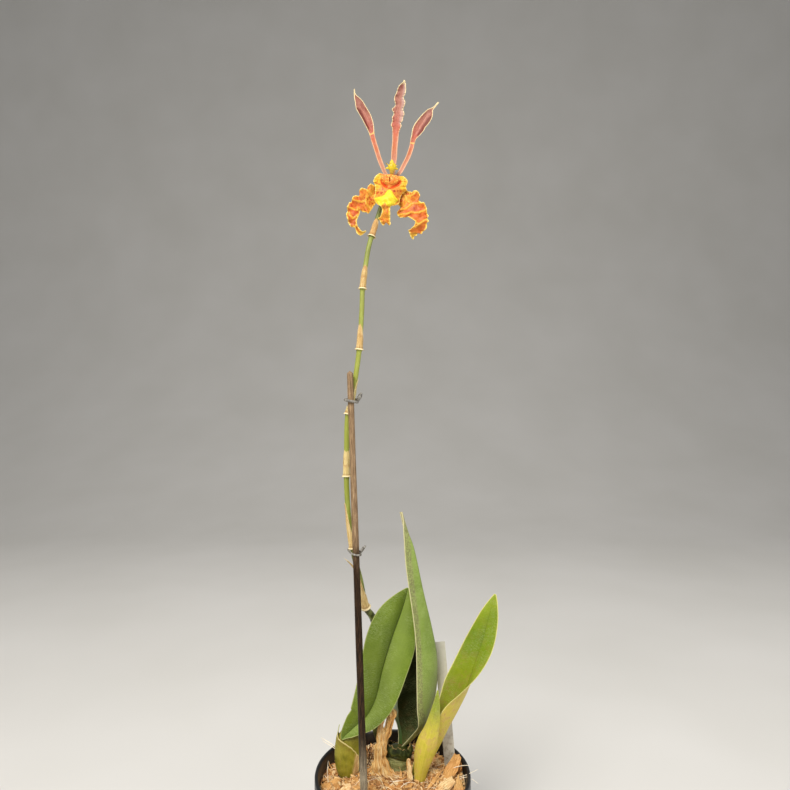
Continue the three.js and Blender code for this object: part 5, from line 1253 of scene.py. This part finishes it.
def traced(view, rows, depths, thicknesses):
    """Stations of midrib, left and right margin, each x, y and z, and the thickness at the midrib"""
    stations = []
    for k, (*points, left_lift, right_lift) in enumerate(rows):
        share = k / (len(rows) - 1)
        depth, thick = (float(np.interp(share, *zip(*values))) for values in (depths, thicknesses))
        station = []
        for (across, down), lift in ((points[2:4], 0), (points[:2], left_lift), (points[4:], right_lift)):
            x, z = seen(view, across, down, depth - lift)
            station += [x, depth - lift, z]
        stations.append([round(value, 1) for value in station + [thick]])
    return stations


def distance(points, lines):
    """Millimetres from points, seen from the front, to the nearest of some drawn lines"""
    best = np.full(points.shape[:-1], FAR_OFF)
    for line in lines:
        for start, end in zip(np.array(line[:-1], float), np.array(line[1:], float)):
            along = np.clip((points - start) @ (end - start) / ((end - start) @ (end - start)), 0, 1)
            gap = points - start - along[..., None] * (end - start)
            best = np.minimum(best, np.linalg.norm(gap, axis=-1))
    return best


def petal(name, stations, columns, rows, sculpt=None, edge=0.4):
    """A thin petal between the two margins of its stations; sculpt raises it by millimetres"""
    line = smooth(stations, rows)
    run = run_of(line[:, :3])
    spread = np.linspace(-1, 1, columns + 1)
    u = (0.6 * spread + 0.4 * np.sin(spread * math.pi / 2))[None]
    reach = np.where((u > 0)[:, :, None], line[:, None, 6:9], line[:, None, 3:6]) - line[:, None, :3]
    middle = line[:, None, :3] + reach * np.abs(u)[:, :, None]
    middle[:, :, 1] = line[:, None, 1] + reach[:, :, 1] * np.abs(u) ** 1.7
    if sculpt is not None:
        middle[:, :, 1] -= sculpt(middle[:, :, 0::2], u, run[:, None])
    width = np.linalg.norm(reach, axis=2)
    return two_faced(name, middle, u, width, run, line[:, 9:10], edge)


def marked(piece, *drawings):
    """Keeps, at a piece's points, the distance to each of three drawings"""
    place = np.empty(len(piece.data.vertices) * 3, np.float32)
    piece.data.vertices.foreach_get("co", place)
    place = place.reshape(-1, 3)[:, 0::2] / MM
    values = [drawing(place) if callable(drawing) else distance(place, drawing) for drawing in drawings]
    unused = [np.full_like(values[0], FAR_OFF)] * (3 - len(values))
    note(piece, marks=np.stack(values + unused, axis=1))
    return piece


def crinkle(height):
    """Fine waves of the margin"""
    def raise_by(place, u, run):
        return height * np.abs(u) ** 4 * (np.sin(run * 2.6 + 2 * (u > 0)) + 0.6 * np.sin(run * 4.7 + 1.3))
    return raise_by


def dusky(name, fold):
    """Salmon stalk, dusky blade, pale margins. fold is the side, -1 or 1, that folds in and gets painted
    shade
    """
    mauve = Finish(name, Specular_IOR_Level=0.3, Roughness=0.55)
    sheet, spot, where, marks = (mauve.place(kind) for kind in ("sheet", "spot", None, "marks"))
    u, t, margin = (mauve.part(spot, axis) for axis in "XYZ")
    veins = mauve.noise(mauve.stretch(sheet, (2.4, 0.12, 1)), 1.6, 3)
    cloud = mauve.noise(where, 300, 4, 0.6)
    colour = mauve.ramp(t, (0.0, (196, 142, 124)), (0.16, (194, 130, 104)), (0.3, (190, 110, 72)),
                        (0.44, (190, 102, 74)), (0.56, (182, 100, 84)), (0.7, (178, 118, 100)),
                        (0.88, (164, 112, 98)), (0.95, (124, 72, 58)), (0.972, (206, 200, 150)))
    blade_share = mauve.step(t, 0.44, 0.62)
    streaks = mauve.times(mauve.step(veins, 0.46, 0.64, 0, 0.6), mauve.plus(0.25, blade_share))
    colour = mauve.blend(streaks, colour, (122, 56, 52))
    colour = mauve.blend(mauve.step(cloud, 0.5, 0.7, 0, 0.4), colour, (196, 148, 134))
    if fold:
        # Painted shade on the half that folds in
        toward = mauve.times(u, fold)
        blade_only = mauve.times(mauve.step(t, 0.5, 0.58), mauve.step(t, 0.86, 0.76))
        fold_shade = mauve.times(toward, blade_only)
        colour = mauve.blend(mauve.step(fold_shade, 0.25, 0.55, 0, 0.8), colour, (96, 36, 32))
    else:
        side = mauve.step(mauve.times(u, blade_share), 0.2, 0.7, 0, 0.75)
        colour = mauve.blend(side, colour, (182, 152, 142))
    lit = mauve.times(mauve.step(margin, 0.2, 1.0, 0.75, 0), mauve.step(t, 0.5, 0.4))
    colour = mauve.blend(lit, colour, (232, 186, 148))
    ragged = mauve.plus(margin, mauve.times(mauve.less(cloud, 0.5), 0.9))
    pale = mauve.times(mauve.step(ragged, 0.3, 0.75, 1, 0), mauve.step(t, 0.44, 0.52))
    colour = mauve.blend(pale, colour, (232, 212, 164))
    joint = mauve.plus(mauve.part(marks, "X"), mauve.times(mauve.less(cloud, 0.5), 2))
    colour = mauve.blend(mauve.step(joint, 0.3, 1.1, 0.85, 0), colour, (236, 190, 112))
    return mauve.wear(Base_Color=colour, Normal=mauve.relief(veins, 0.2, 0.8))


for name, (rows, depths, thicknesses, height, fold, joint) in STRAPS.items():
    piece = petal(name + "_blade", traced(UPPER_VIEW, rows, depths, thicknesses), 24, 180, crinkle(height),
                  0.35)
    fit(marked(piece, drawn(UPPER_VIEW, joint, JOINT_DEPTH)), dusky(name + "_skin", fold), "flower_mauve",
        name)

# Flower, lateral sepals: broad ruffled blades, orange, creased into raised gold folds, with thick pale
# yellow margins drawn into lobes. Rows as those of the petals, on a view of the lower half of the flower.
ARM_LEFT = [
    (640, 640, 640, 520, 620, 330, 0, 1), (600, 690, 570, 530, 570, 300, 1, 1.4),
    (570, 725, 510, 560, 515, 272, 0.5, 2), (545, 775, 460, 590, 465, 315, 1.2, 0.6),
    (505, 830, 420, 610, 440, 378, 0.2, -1.6), (465, 882, 385, 625, 395, 372, 2, -0.6),
    (430, 852, 350, 640, 335, 352, 0.6, 2), (385, 850, 318, 655, 290, 400, 1.4, 1),
    (350, 838, 290, 672, 310, 450, 0.8, -1.2), (325, 822, 262, 690, 280, 515, -0.6, -1.6),
    (305, 805, 240, 708, 200, 503, -1.4, 2), (300, 830, 218, 728, 150, 545, 0, 2),
    (298, 850, 200, 750, 138, 600, 0.8, 0), (292, 872, 186, 775, 118, 642, 0.4, -1.4),
    (288, 890, 175, 805, 80, 645, -0.2, 1.8), (280, 910, 165, 835, 62, 700, 0.2, 0.6),
    (270, 930, 158, 865, 38, 755, 0.8, 2), (258, 955, 153, 895, 45, 820, 0.6, 0),
    (245, 985, 148, 930, 22, 880, 0.2, 1.8), (236, 1015, 147, 970, 30, 930, 0.6, 0.6),
    (240, 1060, 155, 1020, 50, 985, 0.8, 1.6), (248, 1100, 172, 1065, 60, 1040, 0.2, 0),
    (262, 1130, 195, 1105, 85, 1095, 0.4, 1.4), (282, 1160, 222, 1145, 125, 1140, 0.6, 0),
    (300, 1188, 245, 1180, 185, 1140, 0.4, 1.4), (325, 1213, 270, 1215, 210, 1195, 0.2, 0.6),
    (350, 1228, 300, 1245, 235, 1262, 0.4, 1.4), (378, 1225, 340, 1255, 290, 1308, 0.6, 1.2),
    (400, 1216, 380, 1245, 350, 1295, 0.3, 0.6), (425, 1210, 422, 1215, 420, 1222, 0, 0)]
ARM_RIGHT = [
    (1200, 360, 1130, 520, 1060, 650, 0, 1), (1232, 400, 1160, 555, 1050, 700, 0.4, 1),
    (1262, 425, 1190, 590, 1075, 705, 0.8, 0), (1300, 432, 1220, 620, 1095, 735, -1, -1),
    (1340, 432, 1250, 645, 1110, 775, -0.8, -1), (1380, 408, 1280, 670, 1075, 800, 1.4, 1.4),
    (1420, 403, 1310, 695, 1042, 835, 2, 2.2), (1470, 440, 1338, 718, 1040, 880, 1.2, 1.2),
    (1500, 490, 1365, 742, 1060, 925, 0.8, 1.6), (1490, 545, 1390, 768, 1095, 950, -1, 0.6),
    (1475, 600, 1412, 795, 1150, 953, -1.8, 1), (1520, 650, 1432, 822, 1205, 948, 0.6, 0),
    (1575, 640, 1450, 850, 1250, 935, 2, -0.6), (1605, 690, 1465, 880, 1285, 950, 1, 0.4),
    (1632, 755, 1478, 910, 1320, 972, 0, 0), (1640, 820, 1488, 940, 1352, 992, 0.8, 0.4),
    (1652, 870, 1495, 968, 1385, 1015, -0.4, 0), (1675, 920, 1500, 995, 1400, 1040, 1.4, 0.6),
    (1650, 972, 1500, 1022, 1402, 1065, -0.8, 0), (1680, 1020, 1497, 1050, 1390, 1092, 1.8, 0.6),
    (1640, 1065, 1490, 1080, 1375, 1120, 0, 0), (1642, 1120, 1478, 1110, 1350, 1148, 0.8, 0.8),
    (1630, 1172, 1462, 1140, 1325, 1170, 0.4, 0.2), (1595, 1208, 1442, 1170, 1300, 1190, 0.8, 0.8),
    (1555, 1235, 1420, 1198, 1265, 1205, -0.4, 1.2), (1540, 1275, 1395, 1225, 1278, 1240, 1.6, 0.4),
    (1495, 1262, 1375, 1250, 1290, 1270, 0, 0.6), (1455, 1268, 1362, 1275, 1298, 1300, -0.8, 0.2),
    (1435, 1305, 1352, 1305, 1315, 1335, 1, 0.6), (1392, 1315, 1348, 1335, 1330, 1360, 0.2, 0.2),
    (1378, 1368, 1352, 1365, 1342, 1375, 0.6, 0.3), (1366, 1384, 1360, 1382, 1354, 1382, 0, 0)]
ARM_DEPTHS = [(0, -11), (0.15, -15), (0.4, -18), (0.65, -20.5), (0.85, -19), (1, -16)]
ARM_THICKNESSES = [(0, 1.4), (0.4, 1.2), (1, 0.9)]
LOWER_VIEW = (345, 170, 20)
FOLDS_LEFT = [
    [(440, 385), (480, 420), (540, 460), (600, 500)],
    [(148, 598), (190, 615), (250, 625), (330, 625), (400, 600), (425, 540), (450, 500)],
    [(430, 500), (410, 600), (420, 660), (470, 720), (500, 740)],
    [(45, 765), (120, 775), (200, 805), (250, 800), (268, 755), (290, 770)],
    [(90, 870), (110, 930), (160, 985), (210, 960), (262, 905)],
    [(170, 1140), (205, 1150), (255, 1110)]]
FOLDS_RIGHT = [
    [(1260, 480), (1300, 500), (1370, 470), (1400, 420)],
    [(1180, 440), (1230, 520), (1230, 560), (1280, 620), (1340, 650), (1420, 650), (1500, 650),
     (1560, 660)],
    [(1340, 650), (1290, 700), (1220, 760), (1130, 780)],
    [(1060, 900), (1150, 880), (1250, 870), (1330, 830), (1400, 850), (1480, 850), (1560, 820),
     (1640, 790)],
    [(1400, 1040), (1440, 1080), (1480, 1100), (1540, 1050), (1600, 1010), (1670, 985)],
    [(1320, 1170), (1400, 1150), (1460, 1110), (1480, 1100)]]


def ruffled(folds, height):
    """Raised folds, slack between them, and a crimped margin"""
    def raise_by(place, u, run):
        away = distance(place, folds)
        slack = np.sin(place[:, :, 0] * 0.55 + 1) * np.sin(place[:, :, 1] * 0.62 + 2)
        crimped = np.abs(u) ** 5 * (np.sin(run * 1.9 + 2 * (u > 0)) + 0.6 * np.sin(run * 4.3))
        return height * np.exp(-(away / 1.1) ** 2) + 0.55 * slack + 0.4 * crimped * np.clip(run / 6, 0, 1)
    return raise_by


def flower_skin(name, lip):
    """Orange petal with gold folds and pale margins; lip adds its yellow star, ears, hollows and crest"""
    skin = Finish(name, Specular_IOR_Level=0.3, Roughness=0.5)
    sheet, spot, where, marks = (skin.place(kind) for kind in ("sheet", "spot", None, "marks"))
    u, t, margin = (skin.part(spot, axis) for axis in "XYZ")
    fold, star, hollow = (skin.part(marks, axis) for axis in "XYZ")
    broad = skin.noise(where, 120, 3, 0.6)
    cloud = skin.noise(where, 330, 4, 0.65)
    fine = skin.noise(where, 1000, 3)
    loose = skin.times(skin.less(cloud, 0.5), 2.6)
    body = skin.ramp(broad, (0.36, (160, 50, 22)), (0.48, (186, 74, 24)), (0.6, (204, 106, 34)))
    body = skin.blend(skin.step(cloud, 0.5, 0.68, 0, 0.5), body, (210, 126, 44))
    if not lip:
        body = skin.blend(skin.step(skin.part(where, "Z"), 0.618, 0.606, 0, 0.5), body, (160, 84, 22))
    gold = skin.ramp(fine, (0.35, (208, 142, 36)), (0.65, (226, 174, 66)))
    warp = skin.add("TexNoise", {"Vector": where, "Scale": 260, "Detail": 2}, "Color")
    warp_shift = skin.add("VectorMath", {0: warp, 3: 0.004}, operation="SCALE")
    moved = skin.add("VectorMath", {0: where, 1: warp_shift}, operation="ADD")
    net = skin.cells(moved, 300, "DISTANCE_TO_EDGE")
    near_middle = 0.6 if lip else skin.step(t, 0.45, 0.1, 0.05, 0.7)
    colour = skin.blend(skin.times(skin.step(net, 0.05, 0.3, 1, 0), near_middle), body, gold)
    colour = skin.blend(skin.step(skin.plus(fold, loose), 0.2, 1.5, 0.95, 0), colour, gold)
    if lip:
        x, z = skin.part(where, "X"), skin.part(where, "Z")
        ears = skin.times(skin.step(skin.size(skin.plus(x, 0.002)), 0.0075, 0.0095),
                         skin.step(z, 0.6365, 0.6405))
        spotted = skin.blend(skin.step(cloud, 0.5, 0.6), (222, 172, 40), (184, 98, 16))
        colour = skin.blend(ears, colour, spotted)
        sunk = skin.plus(hollow, skin.times(loose, 0.4))
        colour = skin.blend(skin.step(sunk, 0.5, 2.1, 0.9, 0), colour, (204, 66, 16))
        off_x = skin.calc("DIVIDE", skin.plus(x, 0.0021), 0.0083)
        off_z = skin.calc("DIVIDE", skin.less(z, 0.6483), 0.0048)
        crest = skin.plus(skin.times(off_x, off_x), skin.times(off_z, off_z))
        specked = skin.blend(skin.step(skin.cells(where, 800), 0.3, 0.42, 1, 0), (216, 124, 46),
                             (236, 196, 84))
        specked = skin.blend(skin.step(fine, 0.56, 0.64, 0, 0.7), specked, (176, 92, 22))
        colour = skin.blend(skin.step(crest, 0.75, 1.15, 1, 0), colour, specked)
        slit = skin.times(skin.step(skin.size(skin.plus(x, 0.0025)), 0.0004, 0.0009, 1, 0),
                         skin.step(skin.size(skin.less(z, 0.6475)), 0.0018, 0.0024, 1, 0))
        colour = skin.blend(slit, colour, (150, 74, 4))
        inside = skin.plus(star, skin.times(loose, 0.8))
        sunny = skin.ramp(cloud, (0.35, (212, 180, 30)), (0.55, (226, 204, 44)))
        colour = skin.blend(skin.step(inside, -1.1, -0.2), colour, sunny)
    else:
        ends = skin.step(skin.plus(t, skin.times(loose, 0.05)), 0.83, 0.93, 0, 0.75)
        colour = skin.blend(ends, colour, (222, 178, 58))
    rim = skin.plus(margin, skin.times(loose, 0.7))
    colour = skin.blend(skin.step(rim, 0.5, 1.9, 0.9, 0), colour, (228, 180, 60))
    colour = skin.blend(skin.step(rim, 0.2, 0.9, 0.9, 0), colour, (240, 214, 122))
    bumps = skin.relief(cloud, 0.25, 0.6, skin.relief(fine, 0.12, 0.6))
    return skin.wear(Base_Color=colour, Normal=bumps)


sepal_material = flower_skin("ruffled_sepal", False)
for name, rows, lines, depth in (
        ("lateral_sepal_left", ARM_LEFT, FOLDS_LEFT, -18),
        ("lateral_sepal_right", ARM_RIGHT, FOLDS_RIGHT, -19)):
    folds = drawn(LOWER_VIEW, lines, depth)
    stations = traced(LOWER_VIEW, rows, ARM_DEPTHS, ARM_THICKNESSES)
    piece = petal(name + "_blade", stations, 40, 220, ruffled(folds, 0.75))
    fit(marked(piece, folds), sepal_material, "flower_orange", name)

# Flower, lip: one plate. At the top two yellow ears stand beside a speckled crest with red hollows under
# it, a bright yellow star bulges in the middle, and a narrow frilled lobe hangs below.
LIP = [
    (790, 110, 900, 100, 1010, 120, 0.5, 0.5), (745, 90, 900, 135, 1090, 135, 1, 0.5),
    (695, 62, 900, 165, 1145, 128, 2, 1), (640, 92, 900, 195, 1195, 140, 2.4, 2),
    (603, 135, 900, 225, 1232, 180, 2.8, 2.6), (578, 180, 898, 258, 1255, 225, 3, 2.8),
    (565, 225, 896, 292, 1248, 270, 2, 2), (585, 275, 894, 328, 1232, 310, 1, 0.6),
    (600, 330, 892, 365, 1225, 355, -0.6, -1.4), (602, 390, 890, 402, 1235, 400, -1.6, -2.4),
    (600, 450, 888, 440, 1180, 450, -3.6, -4.6), (590, 500, 885, 480, 1130, 500, -4.6, -5.6),
    (570, 560, 880, 520, 1110, 550, -4.4, -6), (590, 620, 872, 560, 1100, 600, -4.8, -5.6),
    (625, 670, 862, 605, 1090, 655, -4, -5), (660, 705, 850, 650, 1050, 700, -3, -3.6),
    (700, 725, 838, 690, 985, 712, -1, -2), (728, 750, 828, 725, 930, 728, -0.4, -1),
    (742, 790, 820, 760, 905, 745, -0.8, 0), (738, 840, 816, 810, 903, 800, 0.6, 0.6),
    (722, 890, 812, 865, 905, 860, -0.4, 0.2), (700, 932, 808, 915, 906, 915, 0.8, 0.8),
    (655, 972, 804, 955, 907, 960, 1.6, 0.2), (695, 1002, 806, 990, 905, 1000, 0, 0.6),
    (702, 1040, 812, 1018, 908, 1040, 1.2, 0), (730, 1085, 822, 1040, 915, 1080, -0.2, 1),
    (772, 1106, 822, 1052, 890, 1112, 1, 0.4)]
LIP_DEPTHS = [(0, -14.4), (0.2, -15.5), (0.38, -19.5), (0.5, -24), (0.62, -25), (0.8, -24), (1, -21.5)]
LIP_THICKNESSES = [(0, 1.3), (0.5, 1.3), (1, 0.9)]
STAR_DRAWN = [
    [(888, 362), (850, 400), (825, 440), (800, 490), (740, 520), (680, 535), (620, 540), (580, 552),
     (600, 600), (625, 640), (660, 690), (700, 725), (740, 700), (765, 655), (800, 630), (830, 665),
     (850, 715), (880, 725), (930, 700), (975, 670), (1010, 630), (1050, 585), (1010, 545), (975, 510),
     (950, 460), (930, 410)]]
STAR, = drawn(LOWER_VIEW, STAR_DRAWN, -24)
HOLLOWS = drawn(LOWER_VIEW, [[(735, 215), (760, 280), (800, 320), (835, 345)],
                             [(1095, 240), (1050, 295), (1000, 325), (945, 350)]], -17)
STRIPE = drawn(LOWER_VIEW, [[(872, 715), (886, 760), (890, 900), (893, 1070)]], -23)


def within(place, outline):
    """Millimetres inside an outline, less than 0 outside"""
    inside = np.zeros(place.shape[:-1], bool)
    for (x0, z0), (x1, z1) in zip(outline, outline[1:] + outline[:1]):
        if z0 != z1:
            inside ^= ((z0 > place[..., 1]) != (z1 > place[..., 1])) & (
                place[..., 0] < (x1 - x0) * (place[..., 1] - z0) / (z1 - z0) + x0)
    return distance(place, [outline + outline[:1]]) * np.where(inside, 1, -1)


def lip_form(place, u, run):
    x, z = place[:, :, 0], place[:, :, 1]
    crest = np.exp(-(((x + 1.9) / 8.2) ** 2 + ((z - 648.2) / 4.6) ** 2) ** 2)
    slit = np.exp(-((x + 2.5) / 0.5) ** 2) * np.exp(-((z - 647.5) / 2.2) ** 4)
    bulge = np.clip(within(place, STAR) / 2.2 + 0.4, 0, 1)
    low = np.clip((628 - z) / 4, 0, 1)
    crimped = np.abs(u) ** 4 * (np.sin(run * 1.7 + 2 * (u > 0)) + 0.5 * np.sin(run * 3.9))
    hollowed = np.exp(-(distance(place, HOLLOWS) / 1.3) ** 2)
    rippled = 0.5 * np.sin(x * 1.2 + z * 0.5) + 0.5 * np.sin(z * 0.9)
    return (crest * (3 + 0.3 * np.cos((x + 2.5) * 1.9)) - 1.6 * slit - 1.3 * hollowed + 1.1 * bulge
            + 0.45 * crimped + low * rippled)


lip_stations = traced(LOWER_VIEW, LIP, LIP_DEPTHS, LIP_THICKNESSES)[::-1]
fit(marked(petal("lip_blade", lip_stations, 64, 200, lip_form), STRIPE, lambda place: within(place, STAR),
           HOLLOWS),
    flower_skin("lip_skin", True), "flower_orange", "lip")

# Column: the fused middle of the flower, yellow, a thin neck under a hood with a cap on top, with two
# broad blunt wings and two thin pale horns.
COLUMN = [
    (-3.9, -6.4, 646, 1.9, 1), (-2.4, -9, 650, 1.7, 1), (-1, -12.5, 653.5, 1.6, 0.9),
    (-0.8, -14.4, 655.8, 1.9, 0.9), (-0.7, -15, 657.4, 2.9, 0.75), (-0.5, -15.2, 659.3, 3.6, 0.7),
    (-0.4, -15.2, 660.8, 3.3, 0.75), (-0.7, -15, 662.3, 2.2, 0.9), (-0.7, -14.8, 664.1, 1.6, 1),
    (-0.7, -14.6, 666, 0.9, 1)]
WINGS = [
    [(-2, -15, 658.6, 1.5, 0.6), (-4.2, -15.4, 658.4, 1, 0.6), (-6.4, -15.8, 657.8, 0.35, 0.8)],
    [(1, -15, 658.4, 1.5, 0.6), (3, -15.4, 657.9, 1, 0.6), (4.8, -15.8, 657, 0.35, 0.8)],
    [(-2.6, -15.4, 660.2, 0.7, 0.8), (-4.4, -16, 661.2, 0.42, 0.9), (-6, -16.6, 662.5, 0.28, 1)],
    [(1.6, -15.4, 659.4, 0.8, 0.8), (2.9, -15.8, 659.9, 0.5, 0.8), (4.2, -16.2, 660.5, 0.28, 1)]]
gold = Finish("column_yellow", Specular_IOR_Level=0.4, Roughness=0.42)
where = gold.place()
cloud = gold.noise(where, 420, 4, 0.6)
dots = gold.step(gold.cells(where, 900), 0.12, 0.26, 1, 0)
rise = gold.part(where, "Z")
colour = gold.ramp(cloud, (0.3, (178, 146, 14)), (0.5, (212, 184, 28)), (0.7, (228, 206, 60)))
low = gold.step(rise, 0.6575, 0.654)
colour = gold.blend(gold.times(low, 0.5), colour, (222, 176, 96))
colour = gold.blend(gold.times(dots, gold.step(cloud, 0.5, 0.64, 0.7, 0)), colour, (172, 110, 20))
collar = gold.step(gold.size(gold.less(rise, 0.6621)), 0.0002, 0.0006, 0.8, 0)
colour = gold.blend(collar, colour, (156, 130, 10))
gold_material = gold.wear(Base_Color=colour, Normal=gold.relief(cloud, 0.3, 0.6))
fit(stem("column_body", COLUMN, 40, 80, None, 1.2), gold_material, "flower_yellow", "column")
for k, stations in enumerate(WINGS):
    fit(stem(f"column_wing_{k + 1}", stations, 20, 24, None, 0.5), gold_material, "flower_yellow")
